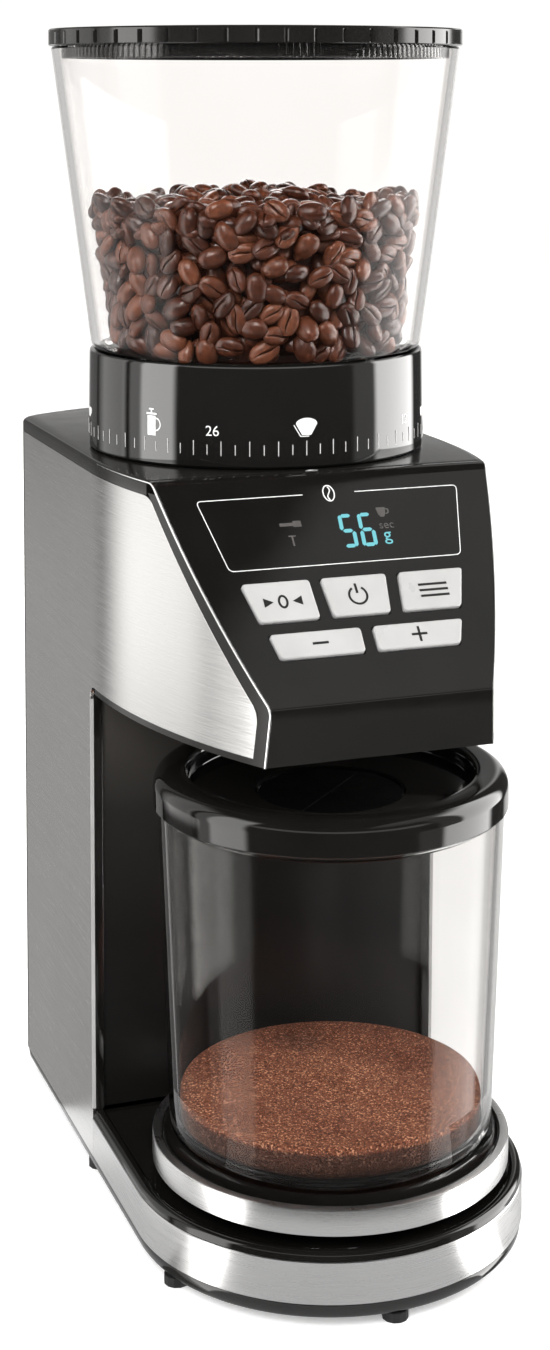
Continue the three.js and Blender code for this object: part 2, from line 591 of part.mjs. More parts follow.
function makeGearbox() {
  const bushHole = rod(0, AXIS_Y, 8.3, 150, 230, 16);
  const ears = block([-52, 52], [53, 71], [GEARBOX_BOTTOM, 180]);
  const legs = [-51, 41].map((x0) => block([x0, x0 + 10], [55, 69], [6.4, GEARBOX_BOTTOM + 1]));
  const box = cut(join(slab(eggOutline(0), GEARBOX_BOTTOM, 202), ears, ...legs),
    slab(eggOutline(-WALL), 180, 210), bushHole, rod(0, MOTOR_Y, 4.5, 150, 190));
  add('gearbox_housing', box, MATT_BLACK);
  add('gearbox_lid', cut(slab(eggOutline(0), 202.3, GEARBOX_TOP), bushHole), MATT_BLACK);
  for (const [name, z0, z1] of [['lower', GEARBOX_BOTTOM + GAP, 181.5], ['upper', 200, 208.4]]) {
    const bush = cut(rod(0, AXIS_Y, 8, z0, z1, 16), rod(0, AXIS_Y, SPINDLE_R + GAP, 100, 300, 16));
    add(`spindle_bush_${name}`, bush, BRONZE);
  }
  const window = block([-11.5, 11.5], [-40, -20], [208.4, 220]);
  const chamber = turned([
    [8.4, GEARBOX_TOP + GAP], [43.5, GEARBOX_TOP + GAP], [43.5, CHAMBER_TOP], [41, CHAMBER_TOP],
    [41, 208.2], [8.4, 208.2],
  ], AXIS_Y, 32);
  add('burr_chamber', cut(chamber, window), MATT_BLACK);

  const outside = [[-30.6, 206], [-30.6, 223], [-50, 223], [SPOUT_Y[0], 203], [SPOUT_Y[0], 171.5],
    [SPOUT_Y[1], 171.5], [SPOUT_Y[1], 190], [-34, 206]];
  const inside = [[-29, 208.4], [-29, 221], [-49, 221], [SPOUT_Y[0] + SPOUT_WALL, 202.2],
    [SPOUT_Y[0] + SPOUT_WALL, 170], [SPOUT_Y[1] - SPOUT_WALL, 170], [SPOUT_Y[1] - SPOUT_WALL, 190.6],
    [-34.6, 207.9]];
  add('grounds_chute', cut(
    sideSlab(outside, -SPOUT_HALF_W, SPOUT_HALF_W),
    sideSlab(inside, -SPOUT_HALF_W + SPOUT_WALL, SPOUT_HALF_W - SPOUT_WALL)), MATT_BLACK);

  const board = join(block([-36, 36], [102, 103.6], [34, 92]), block([-26, -4], [88, 102.5], [38, 66]),
    rod(18, 94, 7, 38, 70), block([17, 19], [94, 102.5], [42, 64]));
  add('main_board', board, CIRCUIT);
}

// ----- scale platform, container, cap and grounds -----
function makeScale() {
  add('platform_ring', turned([
    [PLATFORM_R - SHEET, PLATFORM_BOTTOM], [PLATFORM_R, PLATFORM_BOTTOM], [PLATFORM_R, PLATFORM_TOP - 0.7],
    [PLATFORM_R - 0.7, PLATFORM_TOP], [56.2, PLATFORM_TOP], [56.2, PLATFORM_TOP - SHEET],
    [PLATFORM_R - SHEET, PLATFORM_TOP - SHEET],
  ], CUP_Y), STEEL);
  add('platform_pan', turned([
    [0, 31], [55.9, 31], [55.9, PLATFORM_TOP - 0.2], [54.6, 35.6], [50, 35.6], [48, PLATFORM_TOP],
    [0, PLATFORM_TOP],
  ], CUP_Y), GLOSS_BLACK);
  add('platform_post', rod(0, CUP_Y, 8, LOAD_CELL_TOP + 0.7, 30.7, 16), ALUMINIUM);
}

function makeContainer() {
  add('container', turned([
    [0, CUP_BOTTOM], [48.5, CUP_BOTTOM], [52, 39.4], [CUP_R_LOW, 42.5], [CUP_R_TOP, CUP_TOP],
    [CUP_R_TOP - CUP_WALL, CUP_TOP], [CUP_R_LOW - CUP_WALL, 43.5], [47.8, 40.9], [0, 40.9],
  ], CUP_Y), CLEAR);
  add('coffee_grounds', turned([
    [0, 41.2], [47.4, 41.2], [49.9, 43.8], [50.2, GROUNDS_TOP], [0, GROUNDS_TOP],
  ], CUP_Y, 32), GROUND_COFFEE);
  const funnelTop = CAP_BOTTOM + 5.4;
  const plugR = CUP_R_TOP - CUP_WALL - 0.7;
  add('container_cap', turned([
    [plugR - 2.3, CAP_BOTTOM - CAP_PLUG], [plugR, CAP_BOTTOM - CAP_PLUG], [plugR, CAP_BOTTOM],
    [CAP_R, CAP_BOTTOM], ...arcPoints(CAP_R - 5, CAP_TOP - 5, 5, 0, 90, 4),
    [CAP_HOLE_R + 1.5, CAP_TOP], [CAP_HOLE_R, CAP_TOP - 1.5], [CAP_HOLE_R, funnelTop],
    [FUNNEL_R, funnelTop - FUNNEL_DROP], [FUNNEL_R, funnelTop - FUNNEL_DROP - 2],
    [CAP_HOLE_R, funnelTop - 2.4], [plugR - 2.3, funnelTop - 2.4],
  ], CUP_Y), GLOSS_BLACK);
}

makeBase();
makeBody();
makeHead();
makeControls();
makeHopper();
makeDial();
makeDrive();
makeGearbox();
makeScale();
makeContainer();

export default grinder;
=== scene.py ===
import math
import random

import bmesh
import bpy
import numpy as np
from mathutils import Matrix, Vector


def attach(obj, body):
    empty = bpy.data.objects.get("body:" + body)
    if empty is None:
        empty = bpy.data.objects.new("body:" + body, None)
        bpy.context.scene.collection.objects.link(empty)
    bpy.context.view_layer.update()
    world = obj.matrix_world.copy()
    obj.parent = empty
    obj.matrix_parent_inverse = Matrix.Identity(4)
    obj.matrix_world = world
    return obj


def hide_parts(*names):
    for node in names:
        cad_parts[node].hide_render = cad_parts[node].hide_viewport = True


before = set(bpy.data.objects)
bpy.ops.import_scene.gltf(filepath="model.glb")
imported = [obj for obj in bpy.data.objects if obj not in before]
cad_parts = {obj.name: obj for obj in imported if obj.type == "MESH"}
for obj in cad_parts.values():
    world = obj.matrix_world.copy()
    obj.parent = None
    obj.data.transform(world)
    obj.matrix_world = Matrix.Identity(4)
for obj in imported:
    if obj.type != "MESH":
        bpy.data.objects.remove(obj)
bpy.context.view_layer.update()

MM = 0.001
RNG = random.Random(20)

# ---------------- sizes, mm, as in the CAD frame
GAP = 0.3
HALF_W = 65.0
SIDE_END_Y = 94.0
BACK_Y = 122.0
BACK_R = 110.0
BACK_CORNER = math.radians(31)
BASE_Y = -57.0
HEAD_R = 215.0
TRAY_BOTTOM, BAND_BOTTOM, BAND_TOP = 3.5, 8.5, 22.1
DECK_BOTTOM, DECK_TOP, DECK_FLOOR = 22.4, 25.0, 24.0
HEAD_BOTTOM, STEEL_HEAD_BOTTOM, STEEL_TOP, HEAD_TOP = 173.5, 175.5, 249.3, 254.0
SHEET = 1.2
NECK_CORNER = 5.0
FASCIA_TOP = (-53.0, 254.0)
FASCIA_CREASE = (-106.0, 191.7)
FASCIA_FOOT = (-103.9, 173.5)
TRIM_W = 1.0
STEEL_SETBACK = 4.6
AXIS_Y = 13.5
DIAL_BOTTOM, DIAL_TOP, DIAL_R = 254.3, 288.5, 59.3
HOPPER_FLOOR, HOPPER_TOP = 285.0, 393.9
HOPPER_R_LOW, HOPPER_R_TOP, HOPPER_CORNER, HOPPER_WALL = 58.45, 71.5, 8.0, 2.6
SPIGOT_R, SPIGOT_BOTTOM = 43.4, 262.0
LID_R, LID_BOTTOM, LID_TOP = 72.5, 394.2, 400.0
CUP_Y = -60.5
PLATFORM_R, PLATFORM_BOTTOM, PLATFORM_TOP = 58.9, 28.8, 37.2
CUP_BOTTOM, CUP_TOP, CUP_R_TOP, CUP_WALL = 37.5, 146.4, 57.0, 2.6
GROUNDS_TOP = 52.4
HEAP_SLOPE = 0.022              # the grounds lie a little higher at the front
CAP_R, CAP_BOTTOM, CAP_TOP, CAP_HOLE_R = 58.3, 146.7, 158.3, 47.0
CAP_PLUG, FUNNEL_R, FUNNEL_TOP, FUNNEL_DROP = 2.5, 24.0, 152.1, 1.8
FLAPS = 8                       # wedges of the dark sheet under the funnel: painted shade, drawn as a soft membrane
POST_HOLE_R = 11.0              # the deck's hole round the platform's post
PRINT = 0.07                    # thickness of printed marks
FINE = 144                      # segments of the large turned pieces


# ---------------- helpers
def feed(links, socket, value):
    """Joins a socket to another one, or sets it to a plain value."""
    if isinstance(value, bpy.types.NodeSocket):
        links.new(value, socket)
    else:
        socket.default_value = value


def shown(name, data):
    """Puts a mesh, curve, lamp or camera into the scene."""
    thing = bpy.data.objects.new(name, data)
    bpy.context.scene.collection.objects.link(thing)
    return thing


def mesh_of(name, bm):
    """A mesh in metres from a bmesh in mm, which is used up."""
    mesh = bpy.data.meshes.new(name)
    bm.to_mesh(mesh)
    bm.free()
    mesh.transform(Matrix.Scale(MM, 4))
    return mesh


# ---------------- materials
class Look:
    """A node material built round one Principled shader."""

    def __init__(self, name):
        self.material = bpy.data.materials.new(name)
        self.material.use_nodes = True
        self.nodes = self.material.node_tree.nodes
        self.links = self.material.node_tree.links
        self.shader = self.nodes["Principled BSDF"]
        self.place = self.nodes.new("ShaderNodeTexCoord").outputs["Object"]

    def set(self, **values):
        for name, value in values.items():
            self.shader.inputs[name.replace("_", " ")].default_value = value
        return self

    def noise(self, scale, detail=3.0, stretch=(1, 1, 1), rough=0.5):
        mapping = self.nodes.new("ShaderNodeMapping")
        mapping.inputs["Scale"].default_value = stretch
        self.links.new(self.place, mapping.inputs["Vector"])
        noise = self.nodes.new("ShaderNodeTexNoise")
        noise.inputs["Scale"].default_value = scale
        noise.inputs["Detail"].default_value = detail
        noise.inputs["Roughness"].default_value = rough
        self.links.new(mapping.outputs["Vector"], noise.inputs["Vector"])
        return noise.outputs["Fac"]

    def ramp(self, factor, *stops):
        ramp = self.nodes.new("ShaderNodeValToRGB")
        while len(ramp.color_ramp.elements) < len(stops):
            ramp.color_ramp.elements.new(0.5)
        for element, (at, colour) in zip(ramp.color_ramp.elements, stops):
            element.position = at
            element.color = (*colour, 1)
        self.links.new(factor, ramp.inputs["Fac"])
        return ramp.outputs["Color"]

    def colour(self, socket):
        self.links.new(socket, self.shader.inputs["Base Color"])
        return self

    def spread(self, factor, low, high, from_low=0.3, from_high=0.7):
        scale = self.nodes.new("ShaderNodeMapRange")
        ends = {"From Min": from_low, "From Max": from_high, "To Min": low, "To Max": high}
        for name, value in ends.items():
            scale.inputs[name].default_value = value
        self.links.new(factor, scale.inputs["Value"])
        return scale.outputs["Result"]

    def roughness(self, factor, low, high):
        self.links.new(self.spread(factor, low, high), self.shader.inputs["Roughness"])
        return self

    def bump(self, factor, strength, distance_mm):
        bump = self.nodes.new("ShaderNodeBump")
        bump.inputs["Strength"].default_value = strength
        bump.inputs["Distance"].default_value = distance_mm * MM
        self.links.new(factor, bump.inputs["Height"])
        self.links.new(bump.outputs["Normal"], self.shader.inputs["Normal"])
        return self

    def mix(self, kind, a, b, amount):
        node = self.nodes.new("ShaderNodeMix")
        node.data_type = "RGBA"
        node.blend_type = kind
        for name, value in (("A", a), ("B", b), ("Factor", amount)):
            feed(self.links, node.inputs[name], value)
        return node.outputs["Result"]

    def height(self, low_mm, high_mm):
        """0 below the first height and 1 above the second."""
        split = self.nodes.new("ShaderNodeSeparateXYZ")
        self.links.new(self.place, split.inputs["Vector"])
        return self.spread(split.outputs["Z"], 0.0, 1.0, low_mm * MM, high_mm * MM)

    def attribute(self, name):
        node = self.nodes.new("ShaderNodeAttribute")
        node.attribute_name = name
        return node.outputs["Fac"]

    def combed(self, amount):
        """Reflections stretch up and down, across lines that run level round the object."""
        tangent = self.nodes.new("ShaderNodeTangent")
        tangent.direction_type = "RADIAL"
        tangent.axis = "Z"
        self.links.new(tangent.outputs["Tangent"], self.shader.inputs["Tangent"])
        return self.set(Anisotropic=amount, Anisotropic_Rotation=0.25)

    def lets_lamps_through(self, share):
        """Lamp rays pass the clear wall, tinted a little, so that what is inside is lit."""
        mix = self.nodes.new("ShaderNodeMixShader")
        path = self.nodes.new("ShaderNodeLightPath")
        clear = self.nodes.new("ShaderNodeBsdfTransparent")
        clear.inputs["Color"].default_value = (share, share, share, 1)
        output = self.nodes["Material Output"]
        self.links.new(path.outputs["Is Shadow Ray"], mix.inputs["Fac"])
        self.links.new(self.shader.outputs["BSDF"], mix.inputs[1])
        self.links.new(clear.outputs["BSDF"], mix.inputs[2])
        self.links.new(mix.outputs["Shader"], output.inputs["Surface"])
        return self


LEVEL_LINES = (1, 1, 60)
LENGTHWAYS = (60, 1, 60)
DEEP_BLACK = (0.0045, 0.0042, 0.0038), (0.0065, 0.0060, 0.0055)
LAMP_SHARE = 0.93               # how much of a lamp's light passes each face of a clear wall
NECK_PAINTED_LIGHT = (85, 165)           # heights between which the neck wall's colour grows paler: painted light


def plastic(name, dark, light, rough, grain_mm, grain=0.15, specular=0.5):
    """Moulded plastic: faint mottling, uneven gloss and a fine surface grain."""
    look = Look(name).set(Specular_IOR_Level=specular)
    look.colour(look.ramp(look.noise(35), (0.35, dark), (0.65, light)))
    look.roughness(look.noise(60, 4), *rough)
    return look.bump(look.noise(1000 / grain_mm, 2), grain, 0.05)


def brushed(name, dark, light, rough, stretch, strength=0.12, comb=0.0):
    """Metal with fine lines. They run along the axes that are stretched least."""
    look = Look(name).set(Metallic=1.0)
    if comb:
        look.combed(comb)
    lines = look.noise(55, 6, stretch, 0.65)
    cloud = look.noise(9, 2)
    tone = look.mix("MULTIPLY", look.ramp(lines, (0.3, dark), (0.7, light)),
                    look.ramp(cloud, (0.3, (0.93, 0.93, 0.93)), (0.7, (1, 1, 1))), 1.0)
    look.colour(tone)
    look.roughness(lines, *rough)
    return look.bump(lines, strength, 0.03)


def turned_metal(name, dark, light, rough):
    """Metal with fine level rings, as round an upright axis."""
    return brushed(name, dark, light, rough, LEVEL_LINES, 0.1, 0.8)


def glass(name, tint, clearest, rough, ior):
    """Clear plastic. Its index is set well below the real one of about 1.5: the walls then grey what is
    behind them, and mirror what is round them, less than real ones would."""
    look = Look(name).set(Transmission_Weight=1.0, IOR=ior)
    look.colour(look.ramp(look.noise(12), (0.3, tint), (0.7, clearest)))
    look.roughness(look.noise(25, 3), 0.0, rough)
    return look.lets_lamps_through(LAMP_SHARE)


def neck_plastic_painted_light(name):
    """The wall behind the container. Its colour grows paler towards the head: painted light, standing in for
    the light that falls on the wall under the head.
    """
    look = plastic(name, *DEEP_BLACK, (0.34, 0.44), 0.8, 0.06, 0.25)
    low, high = NECK_PAINTED_LIGHT
    look.colour(look.ramp(look.height(low, high), (0.0, (0.0055, 0.0050, 0.0046)),
                          (0.55, (0.016, 0.0145, 0.013)), (1.0, (0.050, 0.045, 0.040))))
    return look


def ink(name, colour, rough=0.5):
    look = Look(name)
    worn = tuple(c * 0.86 for c in colour)
    look.colour(look.ramp(look.noise(400, 3), (0.3, worn), (0.55, colour)))
    return look.roughness(look.noise(300), rough - 0.1, rough + 0.1)


def glowing(name, colour, strength):
    look = ink(name, tuple(c * 0.15 for c in colour))
    return look.set(Emission_Color=(*colour, 1), Emission_Strength=strength)


def roasted(name):
    """Roasted bean skin: tone differs from bean to bean, with darker mottling, and painted shade that turns
    the crease near black.
    """
    look = Look(name).set(Specular_IOR_Level=0.3, Coat_Weight=0.25, Coat_Roughness=0.2)
    skin_tone = look.ramp(look.attribute("tone"), (0.0, (0.034, 0.0105, 0.0052)),
                          (0.5, (0.072, 0.0235, 0.0115)), (1.0, (0.150, 0.056, 0.028)))
    mottle = look.ramp(look.noise(700, 4), (0.3, (0.46, 0.37, 0.33)), (0.65, (0.92, 0.78, 0.71)))
    body = look.mix("MULTIPLY", skin_tone, mottle, 1.0)
    # Painted shade: the crease attribute mixes in a near-black colour along the groove.
    look.colour(look.mix("MIX", body, (0.018, 0.006, 0.004, 1), look.attribute("crease")))
    look.roughness(look.noise(500, 3), 0.26, 0.46)
    return look.bump(look.noise(1100, 3), 0.35, 0.12)


def grainy(name):
    """Ground coffee: grains of several browns with a few pale flecks. It is darker below its top surface:
    painted shade on its sides, which get less light than the top.
    """
    look = Look(name).set(Specular_IOR_Level=0.2)
    grains = look.nodes.new("ShaderNodeTexVoronoi")
    grains.inputs["Scale"].default_value = 2300
    look.links.new(look.place, grains.inputs["Vector"])
    pick = look.nodes.new("ShaderNodeSeparateColor")
    look.links.new(grains.outputs["Color"], pick.inputs["Color"])
    body = look.ramp(pick.outputs["Red"], (0.0, (0.035, 0.010, 0.005)), (0.4, (0.105, 0.034, 0.017)),
                     (0.85, (0.20, 0.073, 0.037)), (1.0, (0.55, 0.30, 0.18)))
    cloud = look.ramp(look.noise(30, 3), (0.35, (0.66, 0.58, 0.56)), (0.62, (1.0, 1.0, 1.0)))
    # Painted shade: the colour is darkened below the top surface, where the sides get less light.
    depth = look.ramp(look.height(GROUNDS_TOP - 2.4, GROUNDS_TOP - 1.5),
                      (0.0, (0.36, 0.40, 0.46)), (1.0, (1.0, 1.0, 1.0)))
    look.colour(look.mix("MULTIPLY", look.mix("MULTIPLY", body, cloud, 1.0), depth, 1.0))
    look.roughness(look.noise(300), 0.7, 0.95)
    return look.bump(grains.outputs["Distance"], 0.5, 0.2)


# Each look: how it is made, its name, and what its maker takes after the name.
RECIPES = [
    (plastic, "gloss_black", *DEEP_BLACK, (0.03, 0.08), 3.0, 0.01),
    (plastic, "dial_black", DEEP_BLACK[0], (0.0060, 0.0056, 0.0052), (0.03, 0.07), 3.0, 0.008, 1.0),
    (plastic, "matt_black", (0.010, 0.009, 0.008), (0.016, 0.015, 0.014), (0.38, 0.55), 0.5, 0.3),
    (plastic, "satin_black", (0.0065, 0.0060, 0.0056), (0.010, 0.0095, 0.009), (0.10, 0.16), 1.5, 0.03, 0.6),
    (plastic, "soft_black", (0.0050, 0.0047, 0.0042), (0.0075, 0.0070, 0.0064), (0.15, 0.22), 1.5, 0.03, 0.3),
    (neck_plastic_painted_light, "neck_black_painted_light"),
    (brushed, "brushed_steel", (0.61, 0.605, 0.595), (0.77, 0.765, 0.755), (0.20, 0.28), LEVEL_LINES,
     0.14, 0.65),
    (turned_metal, "round_steel", (0.62, 0.615, 0.61), (0.76, 0.755, 0.75), (0.25, 0.33)),
    (brushed, "bright_trim", (0.80, 0.80, 0.79), (0.92, 0.92, 0.92), (0.16, 0.26), LENGTHWAYS, 0.02),
    (plastic, "silver_button", (0.41, 0.405, 0.40), (0.47, 0.465, 0.46), (0.26, 0.36), 0.6, 0.08, 0.6),
    (glass, "clear_hopper", (0.975, 0.960, 0.950), (0.99, 0.98, 0.975), 0.008, 1.20),
    (glass, "clear_container", (0.87, 0.86, 0.85), (0.94, 0.935, 0.93), 0.008, 1.17),
    (roasted, "roasted_beans"),
    (grainy, "ground_coffee"),
    # A near-black sheet that darkens the cap's hole: painted shade.
    (plastic, "shade_sheet_black", (0.003, 0.003, 0.003), (0.005, 0.0048, 0.0045), (0.5, 0.6), 0.8, 0.05, 0.1),
    (plastic, "rubber", (0.010, 0.010, 0.010), (0.018, 0.018, 0.018), (0.7, 0.9), 0.8, 0.4),
    (turned_metal, "machined_steel", (0.28, 0.28, 0.29), (0.42, 0.42, 0.43), (0.25, 0.4)),
    (turned_metal, "bronze", (0.36, 0.20, 0.08), (0.52, 0.30, 0.13), (0.3, 0.45)),
    (brushed, "aluminium", (0.50, 0.51, 0.52), (0.66, 0.67, 0.68), (0.3, 0.45), LENGTHWAYS),
    (plastic, "white_plastic", (0.66, 0.65, 0.62), (0.74, 0.73, 0.70), (0.4, 0.55), 0.6),
    (plastic, "circuit_board", (0.010, 0.075, 0.028), (0.020, 0.12, 0.045), (0.3, 0.5), 1.2, 0.3),
    (ink, "white_print", (0.83, 0.83, 0.82)),
    (ink, "tick_print", (0.60, 0.59, 0.58)),
    (ink, "grey_print", (0.075, 0.070, 0.066)),
    (ink, "dark_print", (0.009, 0.0085, 0.008)),
    (glowing, "display_cyan", (0.17, 0.56, 0.62), 0.95),
]
LOOKS = {name: make(name, *values) for make, name, *values in RECIPES}


# ---------------- mesh code
SHARP_DEG = 32.0                # edges that turn more than this stay sharp


def settle(name, bm, look, body, replaces=(), smooth_deg=SHARP_DEG):
    """Turns a bmesh in mm into a shown piece that rides on a body."""
    bmesh.ops.recalc_face_normals(bm, faces=bm.faces[:])
    mesh = mesh_of(name, bm)
    mesh.shade_smooth()
    mesh.set_sharp_from_angle(angle=math.radians(smooth_deg))
    piece = shown(name, mesh)
    mesh.materials.append(LOOKS[look].material)
    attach(piece, body)
    if replaces:
        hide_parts(*replaces)
    return piece


def soften(piece, width_mm, segments=3, angle_deg=40.0):
    bevel = piece.modifiers.new("edges", "BEVEL")
    bevel.width = width_mm * MM
    bevel.segments = segments
    bevel.limit_method = "ANGLE"
    bevel.angle_limit = math.radians(angle_deg)
    bevel.harden_normals = True
    return piece


def skin(rings, closed_path=True, closed_section=True, fill_first=False, fill_last=False):
    """Joins rings of points, each as long as the next, with quads."""
    bm = bmesh.new()
    made = [[bm.verts.new(p) for p in ring] for ring in rings]
    count = len(rings[0])
    pairs = list(zip(made, made[1:]))
    if closed_section:
        pairs.append((made[-1], made[0]))
    for lower, upper in pairs:
        for i in range(count if closed_path else count - 1):
            j = (i + 1) % count
            bm.faces.new((lower[i], lower[j], upper[j], upper[i]))
    if not closed_path and closed_section:
        bm.faces.new([ring[0] for ring in made])
        bm.faces.new([ring[-1] for ring in reversed(made)])
    if fill_first:
        bm.faces.new(list(reversed(made[0])))
    if fill_last:
        bm.faces.new(made[-1])
    return bm


def loft(rings):
    """A solid through closed rings of points, with both ends filled."""
    return skin(rings, closed_section=False, fill_first=True, fill_last=True)


def fillet(points, radius, steps=4):
    """Rounds the corners of a closed outline. radius is one number, or one for each corner."""
    radii = radius if isinstance(radius, (list, tuple)) else [radius] * len(points)
    made = []
    for i, here in enumerate(points):
        here = Vector(here)
        before, after = Vector(points[i - 1]), Vector(points[(i + 1) % len(points)])
        to_before, to_after = before - here, after - here
        r = min(radii[i], 0.49 * to_before.length, 0.49 * to_after.length)
        if r < 1e-4:
            made.append(tuple(here))
            continue
        start = here + to_before.normalized() * r
        end = here + to_after.normalized() * r
        for k in range(steps + 1):
            t = k / steps
            made.append(tuple(start * (1 - t) ** 2 + here * 2 * t * (1 - t) + end * t * t))
    return made


def ring_of(radius, z, centre_y, segments=FINE, centre_x=0.0):
    turn = 2 * math.pi / segments
    return [(centre_x + radius * math.cos(turn * i), centre_y + radius * math.sin(turn * i), z)
            for i in range(segments)]


def lathe(profile, centre_y, segments=FINE, centre_x=0.0):
    """A turned piece. A profile that starts and ends on the axis is closed there."""
    on_axis = profile[0][0] == 0 and profile[-1][0] == 0
    middle = profile[1:-1] if on_axis else profile
    bm = skin([ring_of(r, z, centre_y, segments, centre_x) for r, z in middle], closed_section=not on_axis)
    if on_axis:
        bm.verts.ensure_lookup_table()
        last = segments * (len(middle) - 1)
        for start, (_, z), flip in ((0, profile[0], False), (last, profile[-1], True)):
            pole = bm.verts.new((centre_x, centre_y, z))
            bm.verts.ensure_lookup_table()
            for i in range(segments):
                a, b = bm.verts[start + i], bm.verts[start + (i + 1) % segments]
                bm.faces.new((pole, b, a) if flip else (pole, a, b))
    return bm


def prism(outline, z0, z1):
    """A plan outline raised from z0 to z1."""
    return loft([[(x, y, z) for x, y in outline] for z in (z0, z1)])


def evaluated(piece):
    """The mesh that a piece or a text comes to, with its modifiers applied."""
    bpy.context.view_layer.update()
    return bpy.data.meshes.new_from_object(piece.evaluated_get(bpy.context.evaluated_depsgraph_get()))


def carve(piece, *cutters):
    """Cuts closed shapes, given as bmeshes in mm, out of a piece, and leaves no modifier behind."""
    for bm in cutters:
        bmesh.ops.recalc_face_normals(bm, faces=bm.faces[:])
        tool = shown("cutter", mesh_of("cutter", bm))
        cut = piece.modifiers.new("cut", "BOOLEAN")
        cut.operation = "DIFFERENCE"
        cut.solver = "EXACT"
        cut.object = tool
        done = evaluated(piece)
        piece.modifiers.clear()
        piece.data = done
        bpy.data.objects.remove(tool)
    piece.data.set_sharp_from_angle(angle=math.radians(SHARP_DEG))
    return piece


def arc(cx, cy, r, from_deg, to_deg, steps):
    angles = [math.radians(from_deg + (to_deg - from_deg) * i / steps) for i in range(steps + 1)]
    return [(cx + r * math.cos(a), cy + r * math.sin(a)) for a in angles]


def box(x0, y0, x1, y1):
    return [(x0, y0), (x1, y0), (x1, y1), (x0, y1)]


def oval(cx, cy, rx, ry, steps, from_deg=0, to_deg=360):
    """Points round an oval, or part of one. A whole one leaves out its last point, which is its first."""
    points = [(cx + rx * math.cos(a), cy + ry * math.sin(a))
              for a in np.linspace(math.radians(from_deg), math.radians(to_deg), steps + 1)]
    return points[:-1] if to_deg - from_deg == 360 else points


def bend(start, control, end, steps):
    a, b, c = Vector(start), Vector(control), Vector(end)
    return [tuple(a * (1 - t) ** 2 + b * 2 * t * (1 - t) + c * t * t)
            for t in (i / steps for i in range(steps + 1))]


def rounded(corner, before, after, steps):
    """A rounded corner, from one offset before it to another after it."""
    (x, y), (bx, by), (ax, ay) = corner, before, after
    return bend((x + bx, y + by), corner, (x + ax, y + ay), steps)


def between(a, b, shares):
    """Points on the way from a to b, at these shares of it."""
    return [(a[0] + (b[0] - a[0]) * t, a[1] + (b[1] - a[1]) * t) for t in shares]


# ---------------- outlines shared by several pieces
def back_curve(inset, steps=40):
    half = HALF_W - inset
    bow = math.degrees(BACK_CORNER)
    curve = arc(0, BACK_Y - BACK_R, BACK_R - inset, 90 - bow, 90 + bow, steps)
    end_x, end_y = curve[0]
    control = (half, end_y - math.tan(BACK_CORNER) * (half - end_x))
    corner = bend((half, SIDE_END_Y), control, (end_x, end_y), 10)[:-1]
    return corner + curve + [(-x, y) for x, y in reversed(corner)]


def nose(inset, back_y, steps=96):
    half = HALF_W - inset
    return [(-half, back_y), *arc(0, BASE_Y, half, 180, 360, steps), (half, back_y)]


def footprint(inset):
    return arc(0, BASE_Y, HALF_W - inset, 180, 360, 96) + back_curve(inset)


def head_half(inset, y):
    draw_in = HEAD_R - math.sqrt(HEAD_R ** 2 - y * y) if y < 0 else 0.0
    return HALF_W - inset - draw_in


def head_plan(inset, front_y):
    side = [(head_half(inset, y), y) for y in np.linspace(front_y, 0, 30)]
    return side + back_curve(inset) + [(-x, y) for x, y in reversed(side)]


def fascia_line(inward, top_z=HEAD_TOP, bottom_z=HEAD_BOTTOM):
    """The control panel's side view, as (y, z), moved inwards by a distance."""
    top, crease, foot = Vector(FASCIA_TOP), Vector(FASCIA_CREASE), Vector(FASCIA_FOOT)

    def normal(a, b):
        along = (b - a).normalized()
        return Vector((-along.y, along.x))

    slope, lip = normal(top, crease), normal(crease, foot)
    turn = crease + (slope + lip) / (1 + slope.dot(lip)) * inward
    start, end = top + slope * inward, foot + lip * inward

    def at(a, b, z):
        return (a.x + (b.x - a.x) * (z - a.y) / (b.y - a.y), z)

    return [at(start, turn, top_z), tuple(turn), at(turn, end, bottom_z)]


def side_plate(outline, inset, thick, side, step=2.5):
    """A (y, z) outline as a sheet that follows the body's side in plan. side is 1 right, -1 left."""
    bm = bmesh.new()
    bm.faces.new([bm.verts.new((0, y, z)) for y, z in outline])
    lowest = min(y for y, _ in outline)
    y = -step
    while y > lowest:
        bmesh.ops.bisect_plane(bm, geom=bm.verts[:] + bm.edges[:] + bm.faces[:],
                               plane_co=(0, y, 0), plane_no=(0, 1, 0), dist=1e-4)
        y -= step
    made = bmesh.ops.extrude_face_region(bm, geom=bm.faces[:])
    inner = {v for v in made["geom"] if isinstance(v, bmesh.types.BMVert)}
    for v in bm.verts:
        v.co.x = side * (head_half(inset, v.co.y) - (thick if v in inner else 0))
    return bm


# ---------------- flat marks: print, display and symbols
# From the panel's own x and y, with y up its slope, to the frame.
PANEL_COS, PANEL_SIN = 0.648, 0.7616
PANEL = Matrix(((1, 0, 0, 0), (0, PANEL_COS, -PANEL_SIN, FASCIA_TOP[0]),
                (0, PANEL_SIN, PANEL_COS, FASCIA_TOP[1]), (0, 0, 0, 1)))


def plates(outlines, low, high):
    """Thin closed plates with these outlines, each a list of (x, y)."""
    bm = bmesh.new()
    for outline in outlines:
        bottom = [bm.verts.new((x, y, low)) for x, y in outline]
        top = [bm.verts.new((x, y, high)) for x, y in outline]
        bm.faces.new(bottom[::-1])
        bm.faces.new(top)
        for i in range(len(outline)):
            j = (i + 1) % len(outline)
            bm.faces.new((bottom[i], bottom[j], top[j], top[i]))
    return bm


